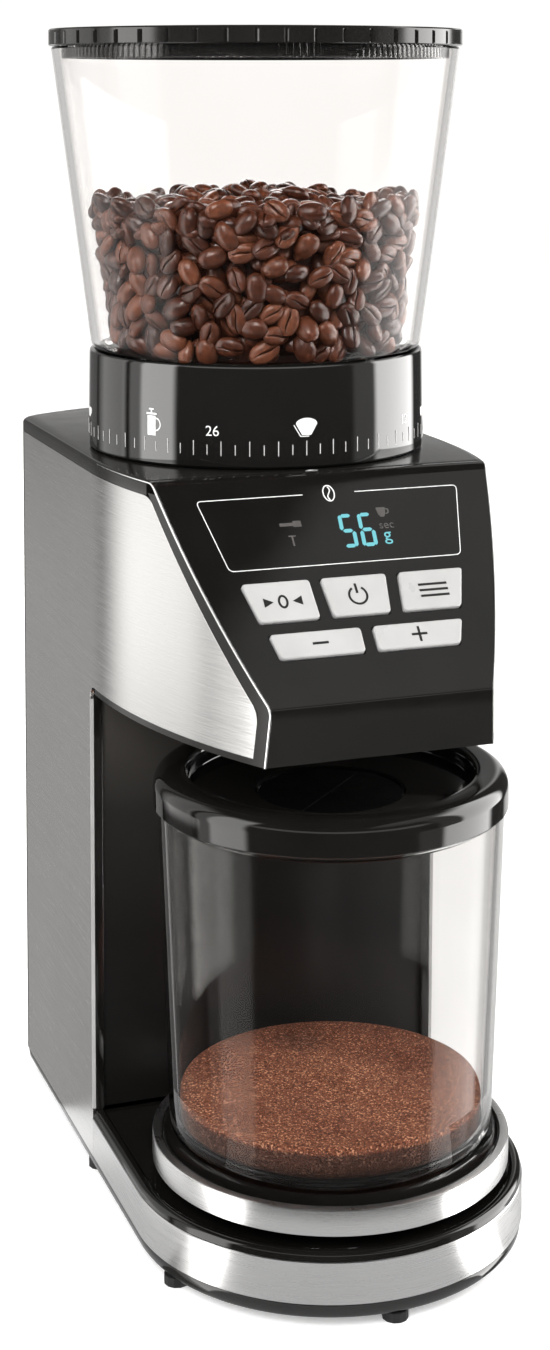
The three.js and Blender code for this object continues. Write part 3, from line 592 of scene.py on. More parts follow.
def stroke(points, width, closed=False):
    """One quad outline for each stretch of a line, mitred where they meet."""
    line = [Vector(p) for p in points]
    count = len(line)
    sides = []
    for i, here in enumerate(line):
        before = line[i - 1] if closed or i > 0 else None
        after = line[(i + 1) % count] if closed or i < count - 1 else None
        ways = [(b - a).normalized() for a, b in ((before, here), (here, after)) if a and b]
        way = sum(ways, Vector((0, 0))).normalized()
        across = Vector((-way.y, way.x)) * (width / 2) / max(0.5, way.dot(ways[0]))
        sides.append((here + across, here - across))
    spans = [(i, (i + 1) % count) for i in range(count if closed else count - 1)]
    return [[sides[i][0], sides[i][1], sides[j][1], sides[j][0]] for i, j in spans]


def lettering(text, height, centre):
    """A few plain characters as a bmesh, with capitals about height mm tall."""
    curve = bpy.data.curves.new("text", "FONT")
    curve.body = text
    curve.size = height / 0.7
    curve.align_x = "CENTER"
    curve.extrude = PRINT / 2
    holder = shown("text", curve)
    mesh = evaluated(holder)
    bpy.data.objects.remove(holder)
    bm = bmesh.new()
    bm.from_mesh(mesh)
    bmesh.ops.translate(bm, vec=(centre[0], centre[1], PRINT / 2), verts=bm.verts[:])
    return bm


def merge(*parts):
    bm = bmesh.new()
    for part in parts:
        mesh = bpy.data.meshes.new("part")
        part.to_mesh(mesh)
        part.free()
        bm.from_mesh(mesh)
        bpy.data.meshes.remove(mesh)
    return bm


def on_panel(bm, lift=0.0):
    bmesh.ops.transform(bm, matrix=PANEL @ Matrix.Translation((0, 0, lift)), verts=bm.verts[:])
    return bm


def on_dial(bm, angle_deg, z, radius=DIAL_R):
    """Wraps flat marks round the dial: x runs round it, y up it."""
    for v in bm.verts:
        a = math.radians(angle_deg) + v.co.x / radius
        r = radius + v.co.z
        v.co = (r * math.sin(a), AXIS_Y - r * math.cos(a), z + v.co.y)
    return bm


# ---------------- camera
CAMERA_AT = (-264.69, -741.82, 382.93)
CAMERA_AZIMUTH, CAMERA_DOWN = math.radians(19.8), math.radians(4.14)
FRAME_HIGH_PX = 1350
FOCAL_PX, HORIZON_PX = 2270.37, 242.65
SENSOR_MM = 36.0

camera = shown("camera", bpy.data.cameras.new("camera"))
camera.data.sensor_width = SENSOR_MM
camera.data.lens = FOCAL_PX * SENSOR_MM / FRAME_HIGH_PX
camera.data.shift_y = (HORIZON_PX - FRAME_HIGH_PX / 2) / FRAME_HIGH_PX
camera.data.clip_start, camera.data.clip_end = 0.01, 50
camera.location = Vector(CAMERA_AT) * MM
looking = Vector((math.sin(CAMERA_AZIMUTH) * math.cos(CAMERA_DOWN),
                  math.cos(CAMERA_AZIMUTH) * math.cos(CAMERA_DOWN), -math.sin(CAMERA_DOWN)))
camera.rotation_euler = looking.to_track_quat("-Z", "Y").to_euler()
bpy.context.scene.camera = camera
bpy.context.scene.view_settings.view_transform = "Standard"


# ---------------- studio: soft boxes round the object, pale floor
# Brightness round the horizon, by compass bearing from the camera's side, degrees, left negative.
BOXES = [
    (-180, 1.15), (-163, 1.15), (-159, 0.36), (-139.5, 0.42), (-138.4, 0.10), (-136, 0.12), (-132, 0.7),
    (-125, 1.8), (-101, 1.8), (-97.5, 0.05), (-95, 0.05), (-93.5, 0.95), (-85, 0.95), (-82, 3.9), (-58, 3.9),
    (-54, 0.06), (68, 0.06), (72, 0.42), (87, 0.42), (91, 5.8), (132, 5.8), (138, 0.08), (158, 0.08),
    (163, 1.15), (180, 1.15),
]
LOW_FRONT = 0.3                 # what the front gives back low down
RAISED_FRONT = 1.1              # a strip box in front, above eye level
LOW_TURN = 14 / 360             # the right box stands further forward low down
BEHIND = 1.04                   # white behind the object, as the camera sees it, also through clear walls
IN_WALL = (0.12, 0.85)          # light turned back once inside a clear wall, from below and from above
TABLE_GLOW = (0.663, 1.1475)    # what the table gives back, close to the base and further out
GLOW_FROM, GLOW_TO = 98.0, 114.0                # distances from CUP_Y between which it grows
GLOW_R, GLOW_DEPTH = 138.0, 0.2
BOX_GAPS = [(-64, -42), (56, 76)]               # bearings where the base shows a soft box instead


def make_world():
    world = bpy.data.worlds.new("studio")
    bpy.context.scene.world = world
    world.use_nodes = True
    nodes, links = world.node_tree.nodes, world.node_tree.links
    background = nodes["Background"]

    def math_node(kind, *values):
        node = nodes.new("ShaderNodeMath")
        node.operation = kind
        for socket, value in zip(node.inputs, values):
            feed(links, socket, value)
        return node.outputs[0]

    def times(a, b):
        return math_node("MULTIPLY", a, b)

    def less(value):
        return math_node("SUBTRACT", 1.0, value)

    def ramp(factor, stops):
        node = nodes.new("ShaderNodeValToRGB")
        while len(node.color_ramp.elements) < len(stops):
            node.color_ramp.elements.new(1.0)
        for element, (at, value) in zip(node.color_ramp.elements, stops):
            element.position = at
            element.color = (value, value, value, 1)
        links.new(factor, node.inputs["Fac"])
        return node.outputs["Color"]

    def smooth(value, low, high):
        node = nodes.new("ShaderNodeMapRange")
        node.interpolation_type = "SMOOTHSTEP"
        node.inputs["From Min"].default_value = low
        node.inputs["From Max"].default_value = high
        links.new(value, node.inputs["Value"])
        return node.outputs["Result"]

    def blend(factor, a, b):
        node = nodes.new("ShaderNodeMix")
        node.data_type = "FLOAT"
        for name, value in (("Factor", factor), ("A", a), ("B", b)):
            feed(links, node.inputs[name], value)
        return node.outputs["Result"]

    def window(value, rise, fall):
        """1 between a rise and a fall, each given as two values, and 0 outside them."""
        return times(smooth(value, *rise), less(smooth(value, *fall)))

    split = nodes.new("ShaderNodeSeparateXYZ")
    links.new(nodes.new("ShaderNodeTexCoord").outputs["Generated"], split.inputs["Vector"])
    # Where a ray points: share is its bearing as a share of a turn, from behind the object round its left
    # side, so that 0.5 is the front. z is the sine of its height above the horizon.
    x, y, z = split.outputs
    turn = math.degrees(CAMERA_AZIMUTH) + 180
    bearing = times(math_node("ARCTAN2", x, y), -1 / (2 * math.pi))
    share = math_node("FRACT", math_node("ADD", bearing, turn / 360 + 0.5))

    turned = times(times(less(smooth(z, -0.23, -0.19)), smooth(share, 0.55, 0.62)), LOW_TURN)
    strongest = max(value for _, value in BOXES)
    stops = [((at + 180) / 360, value / strongest) for at, value in BOXES]
    level = times(ramp(math_node("ADD", share, turned), stops), strongest)

    # The boxes behind on the left are dimmer higher up, and end a little above the table.
    dimmer = times(smooth(z, -0.18, -0.15), less(smooth(share, 0.21, 0.23)))
    level = times(level, less(times(dimmer, 0.4)))
    left_side = window(share, (0.113, 0.117), (0.229, 0.233))
    below = times(left_side, less(smooth(z, -0.305, -0.285)))
    level = times(level, less(times(below, 0.92)))

    # A bright upright strip between the two boxes on the left, low down.
    seam = times(window(share, (0.222, 0.226), (0.241, 0.245)), window(z, (-0.305, -0.285), (-0.24, -0.20)))
    level = math_node("ADD", level, times(seam, 1.3))

    # The front gives back little near the table, and has a strip box above eye level.
    front = window(share, (0.33, 0.37), (0.66, 0.70))
    level = blend(times(front, less(smooth(z, -0.46, -0.42))), level, LOW_FRONT)
    level = blend(times(front, window(z, (0.30, 0.33), (0.46, 0.50))), level, RAISED_FRONT)

    # It is darker behind above eye level, paler over one half of the ceiling, and pale straight below.
    behind = less(window(share, (0.02, 0.05), (0.95, 0.98)))
    level = blend(times(behind, smooth(z, 0.05, 0.11)), level, 0.30)
    overhead = blend(smooth(math_node("ADD", x, times(y, -0.71)), 0.572, 0.594), 0.03, 0.66)
    level = blend(smooth(z, 0.62, 0.80), level, overhead)
    level = blend(less(smooth(z, -0.9, -0.7)), level, 0.8)

    # Rays that met nothing but clear walls see plain white. Light turned back once inside a clear wall sees
    # IN_WALL: dark below, pale above.
    path = nodes.new("ShaderNodeLightPath")
    matt, shiny, through = (path.outputs[f"{kind} Depth"] for kind in ("Diffuse", "Glossy", "Transmission"))
    no_bounce = times(math_node("LESS_THAN", matt, 0.5), math_node("LESS_THAN", shiny, 0.5))
    one_wall = times(math_node("COMPARE", shiny, 1.0, 0.4), math_node("COMPARE", through, 2.0, 0.4))
    level = blend(times(one_wall, 0.8), level, blend(smooth(z, -0.27, -0.23), *IN_WALL))
    level = blend(no_bounce, level, BEHIND)
    links.new(level, background.inputs["Strength"])
    background.inputs["Color"].default_value = (1.0, 0.99, 0.975, 1)


def area_light(name, at_mm, toward_mm, size_m, watts):
    lamp = shown(name, bpy.data.lights.new(name, "AREA"))
    lamp.data.shape = "SQUARE"
    lamp.data.size = size_m
    lamp.data.energy = watts
    lamp.location = Vector(at_mm) * MM
    lamp.rotation_euler = (Vector(toward_mm) - Vector(at_mm)).to_track_quat("-Z", "Y").to_euler()
    lamp.visible_glossy = False
    lamp.visible_camera = False
    return lamp


make_world()
area_light("key", (-900, -1100, 1300), (0, 0, 180), 0.9, 26)
area_light("fill", (1100, -700, 900), (0, 0, 180), 0.8, 12)
area_light("rear", (300, 1300, 900), (0, 0, 250), 0.8, 10)


def stage_disc(name, bm, look):
    """A flat disc that belongs to the studio. It can't be seen through clear walls."""
    mesh = mesh_of(name, bm)
    mesh.materials.append(look.material)
    disc = shown(name, mesh)
    disc.visible_transmission = False
    return disc


def disc_of(radius, z, centre_y, segments):
    rings = [ring_of(r, z, centre_y, segments) for r in (1.0, radius)]
    return skin(rings, closed_section=False, fill_first=True)


floor_look = Look("floor_paper").set(Roughness=0.9, Specular_IOR_Level=0.1)
floor_look.colour(floor_look.ramp(floor_look.noise(3), (0.3, (0.92, 0.92, 0.92)), (0.7, (0.95, 0.95, 0.95))))
floor_look.set(Emission_Color=(1, 1, 1, 1), Emission_Strength=0.35)
floor = stage_disc("floor", disc_of(6000.0, 0.0, 0.0, 64), floor_look)
floor.visible_glossy = False

# The part of the table that the base reflects. It lies just under the floor, so only reflections find it.
glow_mesh = disc_of(GLOW_R, -GLOW_DEPTH, CUP_Y, 180)


def shows_a_box(face):
    """Whether this wedge of the table lies where the base shows the left or the right soft box."""
    x, y, _ = face.calc_center_median()
    toward = -x * math.sin(CAMERA_AZIMUTH) - (y - CUP_Y) * math.cos(CAMERA_AZIMUTH)
    rightward = x * math.cos(CAMERA_AZIMUTH) - (y - CUP_Y) * math.sin(CAMERA_AZIMUTH)
    bearing = math.degrees(math.atan2(rightward, toward))
    return any(low < bearing < high for low, high in BOX_GAPS)


bmesh.ops.delete(glow_mesh, geom=[face for face in glow_mesh.faces if shows_a_box(face)], context="FACES")
glow_look = Look("table_glow").set(Roughness=1.0, Specular_IOR_Level=0.0, Base_Color=(0, 0, 0, 1))
glow_look.links.new(glow_look.ramp(glow_look.noise(4), (0.3, (0.92, 0.92, 0.92)), (0.7, (1, 1, 1))),
                    glow_look.shader.inputs["Emission Color"])
distance = glow_look.nodes.new("ShaderNodeVectorMath")
distance.operation = "DISTANCE"
glow_look.links.new(glow_look.place, distance.inputs[0])
distance.inputs[1].default_value = (0, CUP_Y * MM, 0)
brighter = glow_look.spread(distance.outputs["Value"], *TABLE_GLOW, GLOW_FROM * MM, GLOW_TO * MM)
glow_look.links.new(brighter, glow_look.shader.inputs["Emission Strength"])
glow = stage_disc("table_glow", glow_mesh, glow_look)
glow.visible_camera = False
glow.visible_diffuse = False


# ---------------- lid
LID_RIBS = 46
LID_PANEL = 20                  # columns from one groove to the next


def make_lid():
    columns = LID_RIBS * LID_PANEL
    turn = 2 * math.pi / columns

    def ribbed(radius, z, *grooves, every=LID_PANEL):
        points = []
        for i in range(columns):
            k = i % every
            r = radius - (grooves[k] if k < len(grooves) else 0)
            points.append((r * math.cos(turn * i), AXIS_Y + r * math.sin(turn * i), z))
        return points

    groove, fine = (0.3, 0.8, 0.3), (0.5, 0.5)
    rings = [
        ribbed(65.6, LID_TOP - 2.8), ribbed(65.6, LID_BOTTOM - 4.4), ribbed(67.5, LID_BOTTOM - 4.4),
        ribbed(67.9, LID_BOTTOM - 4.0, *fine, every=5), ribbed(67.9, LID_BOTTOM, *fine, every=5),
        ribbed(LID_R - 0.4, LID_BOTTOM), ribbed(LID_R, LID_BOTTOM + 0.35),
        ribbed(LID_R, LID_BOTTOM + 0.6, *groove),
        ribbed(LID_R, LID_TOP - 1.3, *groove), ribbed(LID_R, LID_TOP - 1.05), ribbed(LID_R, LID_TOP - 0.5),
        ribbed(LID_R - 0.5, LID_TOP), ribbed(67.5, LID_TOP), ribbed(66.9, LID_TOP - 0.5),
        ribbed(66.2, LID_TOP - 0.5), ribbed(65.6, LID_TOP), ribbed(30.0, LID_TOP - 0.25),
        ribbed(3.0, LID_TOP - 0.3),
    ]
    settle("lid_moulding", loft(rings), "satin_black", "lid", ["lid"], 24)


# ---------------- hopper and beans
def hopper_radius(z):
    """Outside radius of the cone above its rounded corner."""
    foot = HOPPER_FLOOR + HOPPER_CORNER
    return HOPPER_R_LOW + (HOPPER_R_TOP - HOPPER_R_LOW) * (z - foot) / (HOPPER_TOP - foot)


def make_hopper():
    corner = HOPPER_R_LOW - HOPPER_CORNER, HOPPER_FLOOR + HOPPER_CORNER
    inner_top = HOPPER_R_TOP - HOPPER_WALL
    profile = [
        (SPIGOT_R, SPIGOT_BOTTOM), (SPIGOT_R, HOPPER_FLOOR), *arc(*corner, HOPPER_CORNER, -90, 0, 14),
        (HOPPER_R_TOP, HOPPER_TOP - 0.5), (HOPPER_R_TOP - 0.5, HOPPER_TOP), (inner_top + 0.5, HOPPER_TOP),
        (inner_top, HOPPER_TOP - 0.5), *arc(*corner, HOPPER_CORNER - HOPPER_WALL, 0, -90, 10),
        (SPIGOT_R - HOPPER_WALL, HOPPER_FLOOR + HOPPER_WALL), (SPIGOT_R - HOPPER_WALL, SPIGOT_BOTTOM),
    ]
    settle("hopper_wall", lathe(profile, AXIS_Y), "clear_hopper", "hopper", ["hopper"])


def bean_shape():
    """One bean in mm: x along it, +z its round back, with the crease on its flat side."""
    half_l, half_w, back, flat = 5.0, 3.6, 2.9, 1.8
    section = [(math.cos(a) * half_w, math.sin(a) * back) for a in np.linspace(0, math.pi, 9)]
    under_side = [(-0.80, 0.72), (-0.20, 1.0), (-0.07, 0.9), (0.0, 0.35), (0.07, 0.9), (0.20, 1.0),
                  (0.80, 0.72)]
    section += [(across * half_w, -down * flat) for across, down in under_side]
    # crease_shade holds painted shade for each point: full along the middle of the groove, some beside it.
    points, crease_shade = [], []
    stations = [math.cos(a) for a in np.linspace(math.pi, 0, 13)[1:-1]]
    for t in stations:
        size = math.sqrt(1 - t * t) ** 0.85
        for k, (y, z) in enumerate(section):
            groove = k in (11, 12, 13)
            points.append((half_l * t, y * size + (0.5 * math.sin(2.6 * t) if groove else 0.0), z * size))
            crease_shade.append(1.0 if k == 12 else (0.35 if groove else 0.0))
    points += [(-half_l, 0, 0), (half_l, 0, 0)]
    crease_shade += [0.0, 0.0]
    n, rows = len(section), len(stations)
    faces = [(r * n + i, r * n + (i + 1) % n, (r + 1) * n + (i + 1) % n, (r + 1) * n + i)
             for r in range(rows - 1) for i in range(n)]
    faces += [(rows * n, (i + 1) % n, i) for i in range(n)]
    faces += [(rows * n + 1, (rows - 1) * n + i, (rows - 1) * n + (i + 1) % n) for i in range(n)]
    return np.array(points), faces, crease_shade


def scatter(draw, wanted, apart, tries=9000):
    """Points from draw() that keep their distance from each other."""
    kept = np.full((wanted, 3), 1e6)
    count = 0
    for _ in range(tries):
        p = np.array(draw())
        if np.min(np.sum((kept - p) ** 2, axis=1)) > apart * apart:
            kept[count] = p
            count += 1
            if count == wanted:
                break
    return kept[:count]


def mound(r):
    return 341.5 + 3.4 * math.cos(min(r, 62) / 62 * math.pi) + 0.9 * math.sin(r * 0.35)


def bean_places():
    """(centre, outward direction) of each bean, against the wall and over the top."""
    places = []
    for depth, apart, wanted in ((6.6, 6.1, 520), (10.8, 6.3, 420)):
        def on_wall():
            z = RNG.uniform(HOPPER_FLOOR + HOPPER_WALL + 3.2, 340)
            inner = hopper_radius(max(z, HOPPER_FLOOR + HOPPER_CORNER)) - HOPPER_WALL
            lift = max(0.0, HOPPER_FLOOR + HOPPER_CORNER - z)
            r = inner - depth - lift * 0.45
            a = RNG.uniform(0, 2 * math.pi)
            return (r * math.cos(a), AXIS_Y + r * math.sin(a), z)
        for p in scatter(on_wall, wanted, apart):
            places.append((p, Vector((p[0], p[1] - AXIS_Y, 0)).normalized()))
    for drop, apart, wanted in ((2.2, 6.2, 300), (5.8, 6.4, 260)):
        def on_top():
            r, a = 53.8 * math.sqrt(RNG.random()), RNG.uniform(0, 2 * math.pi)
            return (r * math.cos(a), AXIS_Y + r * math.sin(a), mound(r) - drop + RNG.uniform(-1.2, 1.2))
        for p in scatter(on_top, wanted, apart):
            places.append((p, Vector((0.2 * p[0] / 60, 0.2 * p[1] / 60, 1)).normalized()))
    return places


def make_beans():
    shape, faces, crease_shade = bean_shape()
    places = bean_places()
    verts, tones, made_faces = [], [], []
    for index, (centre, outward) in enumerate(places):
        tilt = Vector([RNG.uniform(-0.55, 0.55) for _ in range(3)])
        up = (outward * (1 if RNG.random() < 0.5 else -1) + tilt).normalized()
        along = up.orthogonal().normalized()
        along.rotate(Matrix.Rotation(RNG.uniform(0, 2 * math.pi), 3, up))
        size = RNG.uniform(0.88, 1.1)
        basis = np.array((along, up.cross(along), up)) * size
        verts.append(shape @ basis + centre)
        tones += [RNG.uniform(0, 1)] * len(shape)
        made_faces += [tuple(v + index * len(shape) for v in face) for face in faces]
    mesh = bpy.data.meshes.new("coffee_beans")
    mesh.from_pydata(np.concatenate(verts) * MM, [], made_faces)
    mesh.attributes.new("tone", "FLOAT", "POINT").data.foreach_set("value", tones)
    mesh.attributes.new("crease", "FLOAT", "POINT").data.foreach_set("value", crease_shade * len(places))
    mesh.shade_smooth()
    mesh.set_sharp_from_angle(angle=math.radians(75))
    mesh.materials.append(LOOKS["roasted_beans"].material)
    beans = shown("coffee_beans", mesh)
    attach(beans, "hopper")
    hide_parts("bean_fill")
    core = [(0, 264), (39, 264), (39, HOPPER_FLOOR + 4), (42, HOPPER_FLOOR + 6), (45, 300), (49, 326),
            (47, 331), (0, 336)]
    settle("bean_heap_core", lathe(core, AXIS_Y, 48), "roasted_beans", "hopper")


# ---------------- dial with its scale
TICKS = 78
SCALE_START = -2.8              # bearing of the filter mark and of one long tick, degrees


def make_dial():
    profile = [
        (48.4, DIAL_BOTTOM), (DIAL_R - 0.5, DIAL_BOTTOM), (DIAL_R, DIAL_BOTTOM + 0.7),
        (DIAL_R - 0.5, DIAL_TOP - 1.2),
        (DIAL_R - 0.75, DIAL_TOP - 0.45), (DIAL_R - 1.4, DIAL_TOP), (57.9, DIAL_TOP), (57.5, DIAL_TOP - 0.4),
        (55.6, HOPPER_FLOOR - 0.4), (55.2, DIAL_BOTTOM + 3), (48.4, DIAL_BOTTOM + 3),
    ]
    settle("dial_ring", lathe(profile, AXIS_Y, 180), "dial_black", "grind_dial",
           ["grind_dial"], 20)

    def slim(z):
        """The dial's outside radius at a height."""
        return DIAL_R - 0.5 * (z - DIAL_BOTTOM - 0.7) / (DIAL_TOP - DIAL_BOTTOM - 1.9)

    pitch = 360 / TICKS
    ticks = []
    for i in range(TICKS):
        tall, low = (4.9, 258.6) if i % 2 == 0 else (3.4, 258.9)
        tick = plates([box(-0.15, 0, 0.15, tall)], 0, PRINT)
        ticks.append(on_dial(tick, SCALE_START + i * pitch, low, slim(low)))
    settle("dial_scale_ticks", merge(*ticks), "tick_print", "grind_dial")
    marks = []
    for text, angle in (("26", -33.4), ("12", 39.7), ("1", 112), ("39", -128), ("33", 172), ("6", 84)):
        marks.append(on_dial(lettering(text, 3.4, (0, 0)), angle, 265.2, slim(268)))

    jug = [box(-1.9, 0, 1.5, 6.6), box(-2.3, 7.0, 1.9, 7.6), box(-0.5, 7.6, 0.1, 8.6),
           box(-1.2, 8.6, 0.8, 9.1)]
    jug += stroke(oval(1.5, 3.8, 1.9, 2.1, 10, -90, 90), 0.45)
    filter_cone = [[(-1.6, 0), (1.6, 0), (3.7, 3.7), *oval(0, 3.7, 3.7, 2.0, 10, 0, 180)[1:-1], (-3.7, 3.7)]]
    filter_cone += stroke([(-4.4, 3.4), (-2.1, -0.4), (0.9, -0.4)], 0.3)
    cup = [[(-2.6, 3.2), (-2.0, 0.6), (-1.2, 0), (1.2, 0), (2.0, 0.6), (2.6, 3.2)]]
    cup += stroke(oval(2.4, 2.1, 1.1, 0.9, 8, -90, 90), 0.4)
    icons = ((jug, -55.2, 264.0), (filter_cone, SCALE_START, 265.4), (cup, 59, 265.2), (cup, -98, 265.2))
    for icon, angle, z in icons:
        marks.append(on_dial(plates(icon, 0, PRINT), angle, z, slim(z + 2)))
    settle("dial_scale_marks", merge(*marks), "white_print", "grind_dial")


# ---------------- head
LINE_W = 0.42                   # width of the bright line
FADE_Y = -9.0                   # where the bright line ends along the cover's edge
COVER_EDGE_R = 1.5              # rounding of the top cover's upper edge
PANEL_DEEP, SLOPE_DROP = 2.3, 1.6               # how far its inner face lies back, and down on its slope


def make_head():
    layers = [(0, STEEL_TOP + 0.18)]
    for a in np.linspace(0, math.pi / 2, 7):
        layers.append((COVER_EDGE_R * (1 - math.cos(a)), HEAD_TOP - COVER_EDGE_R * (1 - math.sin(a))))
    rings = [[(x, y, z) for x, y in head_plan(inset, FASCIA_TOP[0] + 3.7 + inset)] for inset, z in layers]
    settle("top_cover_moulding", loft(rings), "soft_black", "housing", ["top_cover"], 25)
    marker = plates([[(0.1, 0), (-2.1, -1.4), (2.3, -1.5)]], 0, PRINT)
    bmesh.ops.translate(marker, vec=(-2.6, -47.6, HEAD_TOP), verts=marker.verts[:])
    settle("dial_pointer_mark", marker, "white_print", "housing")

    top, crease, foot = fascia_line(0)
    path = [(top[0] + 3.5, HEAD_TOP - 0.25), *rounded(top, (2.9, 0), (-1.9, -2.25), 10)]
    path += between(top, crease, np.linspace(0.06, 0.97, 40))
    path += rounded(crease, (0.55, 0.65), (0.1, -0.85), 6)
    path += [*between(crease, foot, (0.3, 0.6, 0.93)), (foot[0] + 0.25, foot[1])]

    def across(y, z, back=0.0, drop=0.0):
        """A row of points from side to side of the control panel, moved back and down."""
        half = head_half(LINE_W + 0.05, y)
        return [(x, y + back, z - drop) for x in np.linspace(-half, half, 25)]

    rings = [across(y, z) for y, z in path]
    inner = [across(y, z, PANEL_DEEP, SLOPE_DROP if z > crease[1] else 0.0) for y, z in reversed(path)]
    bm = skin(rings + inner, closed_path=False)
    fascia = settle("fascia_panel", bm, "gloss_black", "housing", ["control_fascia"], 25)
    carve(fascia, *(on_panel(prism_of_button(corners, 0.35)) for corners in BUTTONS.values()))

    # The bright line: along the cover's edge from FADE_Y, round the corner, down the slope and the lip.
    front, back = fascia_line(-0.1), fascia_line(LINE_W - 0.1)
    edge_z = HEAD_TOP - 0.1
    over = [(FADE_Y, HEAD_TOP - 0.55), *rounded((front[0][0], edge_z), (2.2, -0.05), (-1.9, -2.2), 8)]
    under = [(FADE_Y, HEAD_TOP - 0.62),
             *rounded((back[0][0], edge_z - LINE_W), (2.0, -0.05), (-1.7, LINE_W - 2.8), 8)]
    for line, (_, turn, end) in ((over, front), (under, back)):
        line += [*rounded(turn, (1.3, 1.5), (0.2, -2.2), 8), end]
    bright = over + under[::-1]
    edging_front = fascia_line(LINE_W - 0.15, STEEL_TOP + 1, HEAD_BOTTOM)
    edging_back = fascia_line(STEEL_SETBACK + 0.1, STEEL_TOP + 1, STEEL_HEAD_BOTTOM + 0.1)
    end = -NECK_CORNER - GAP
    edging = [*edging_front, (end, HEAD_BOTTOM), (end, STEEL_HEAD_BOTTOM + 0.1), *reversed(edging_back)]
    top, crease, foot = fascia_line(STEEL_SETBACK, STEEL_TOP, STEEL_HEAD_BOTTOM)
    steel = [(SIDE_END_Y, BAND_BOTTOM), (SIDE_END_Y, STEEL_TOP), *rounded(top, (4, 0), (-2, -2.4), 6),
             *rounded(crease, (2.4, 2.8), (0.3, -3.5), 6), (foot[0], STEEL_HEAD_BOTTOM),
             *rounded((0, STEEL_HEAD_BOTTOM), (-NECK_CORNER, 0), (0, -NECK_CORNER), 8), (0, BAND_BOTTOM)]
    for name, side in (("left", -1), ("right", 1)):
        trim = settle(f"trim_strip_{name}", side_plate(bright, -0.1, LINE_W, side), "bright_trim", "housing",
                      [f"fascia_trim_{name}"])
        soften(trim, 0.1, 2)
        edge = settle(f"edging_{name}", side_plate(edging, 0.1, TRIM_W, side), "soft_black", "housing",
                      [f"head_edging_{name}"])
        soften(edge, 0.4)
        sheet = settle(f"steel_side_{name}", side_plate(steel, 0, SHEET, side), "brushed_steel", "housing",
                       [f"side_panel_{name}"])
        soften(sheet, 0.35)
        bezel = prism(fillet(box(side * 60.6, 0.1, side * 63.7, 1.6), 0.5), DECK_TOP + 0.1, HEAD_BOTTOM - 0.1)
        settle(f"neck_bezel_{name}", bezel, "gloss_black", "housing")


# ---------------- buttons and display
BUTTONS = {
    "button_tare": [(-37.5, -39), (-14.8, -39), (-14, -52.8), (-33.9, -52.8)],
    "button_power": [(-10.9, -39), (11.4, -39), (9.8, -52.8), (-9.4, -52.8)],
    "button_select": [(15.8, -39), (38.2, -39), (34.2, -52.8), (14.3, -52.8)],
    "button_minus": [(-32.2, -57), (-1.9, -57), (-2, -65.6), (-30, -65.6)],
    "button_plus": [(2.3, -57), (33.1, -57), (30.3, -65.6), (2.5, -65.6)],
}
BUTTON_PROUD = 1.3


def prism_of_button(corners, grow, low=-6.0, high=6.0):
    """A button's outline, grown by a distance and with rounded corners, raised square to the panel."""
    mx = sum(x for x, _ in corners) / 4
    my = sum(y for _, y in corners) / 4
    grown = [(x + math.copysign(grow, x - mx), y + math.copysign(grow, y - my)) for x, y in corners]
    return prism(fillet(list(reversed(grown)), 1.4, 5), low, high)


def make_buttons():
    for name, corners in BUTTONS.items():
        key = on_panel(prism_of_button(corners, 0, -3.6, BUTTON_PROUD))
        cap = settle(f"{name}_cap", key, "silver_button", name, [name])
        soften(cap, 0.55, 4, 50)

    def mark(name, body, outlines):
        settle(name, on_panel(plates(outlines, 0, PRINT), BUTTON_PROUD), "dark_print", body)

    ring = [(0.2 + 3.0 * math.sin(a), -46.1 + 3.0 * math.cos(a))
            for a in np.linspace(0.55, 2 * math.pi - 0.55, 30)]
    mark("power_symbol", "button_power", stroke(ring, 0.72) + stroke([(0.0, -41.9), (0.1, -45.3)], 0.78))
    mark("minus_symbol", "button_minus", stroke([(-18.9, -61.3), (-13.6, -61.3)], 0.8))
    plus = stroke([(14.5, -61.2), (19.8, -61.2)], 0.8) + stroke([(17.15, -58.6), (17.15, -63.8)], 0.8)
    mark("plus_symbol", "button_plus", plus)
    zero = oval(-25.1, -46.2, 1.35, 2.0, 24)
    arrows = [[(-31.5, -44.6), (-28.3, -46.2), (-31.5, -47.8)],
              [(-18.7, -44.6), (-21.9, -46.2), (-18.7, -47.8)]]
    mark("tare_symbol", "button_tare", stroke(zero, 0.75, closed=True) + arrows)
    rows = [stroke([(21.3, y), (31.2, y)], 0.8) for y in (-44.2, -46.2, -48.2)]
    mark("select_symbol", "button_select", sum(rows, []))


def seven_segments(left, width, top, height, lit, thick=1.3, slant=0.06):
    """Lit bars of one digit, with pointed ends. y runs up the panel."""
    h, t, gap = height / 2, thick / 2, 0.26
    rows = {"t": 0, "m": -h, "b": -2 * h}
    columns = {"l": 0, "r": width}
    ends = {"a": ("tl", "tr"), "b": ("tr", "mr"), "c": ("mr", "br"), "d": ("bl", "br"), "e": ("ml", "bl"),
            "f": ("tl", "ml"), "g": ("ml", "mr")}
    bars = []
    for bar in lit:
        (x0, y0), (x1, y1) = ((columns[column], rows[row]) for row, column in ends[bar])
        if y0 == y1:
            x0, x1 = x0 + gap + t, x1 - gap - t
            y = {0: y0 - t, -h: y0, -2 * h: y0 + t}[y0]
            outline = [(x0, y), (x0 + t, y + t), (x1 - t, y + t), (x1, y), (x1 - t, y - t), (x0 + t, y - t)]
        else:
            x = x0 + t if x0 == 0 else x0 - t
            y0, y1 = y0 - gap, y1 + gap
            outline = [(x, y0), (x + t, y0 - t), (x + t, y1 + t), (x, y1), (x - t, y1 + t), (x - t, y0 - t)]
        bars.append([(left + x + (y + 2 * h) * slant, top + y) for x, y in outline])
    return bars


FRAME_LINE = 0.27


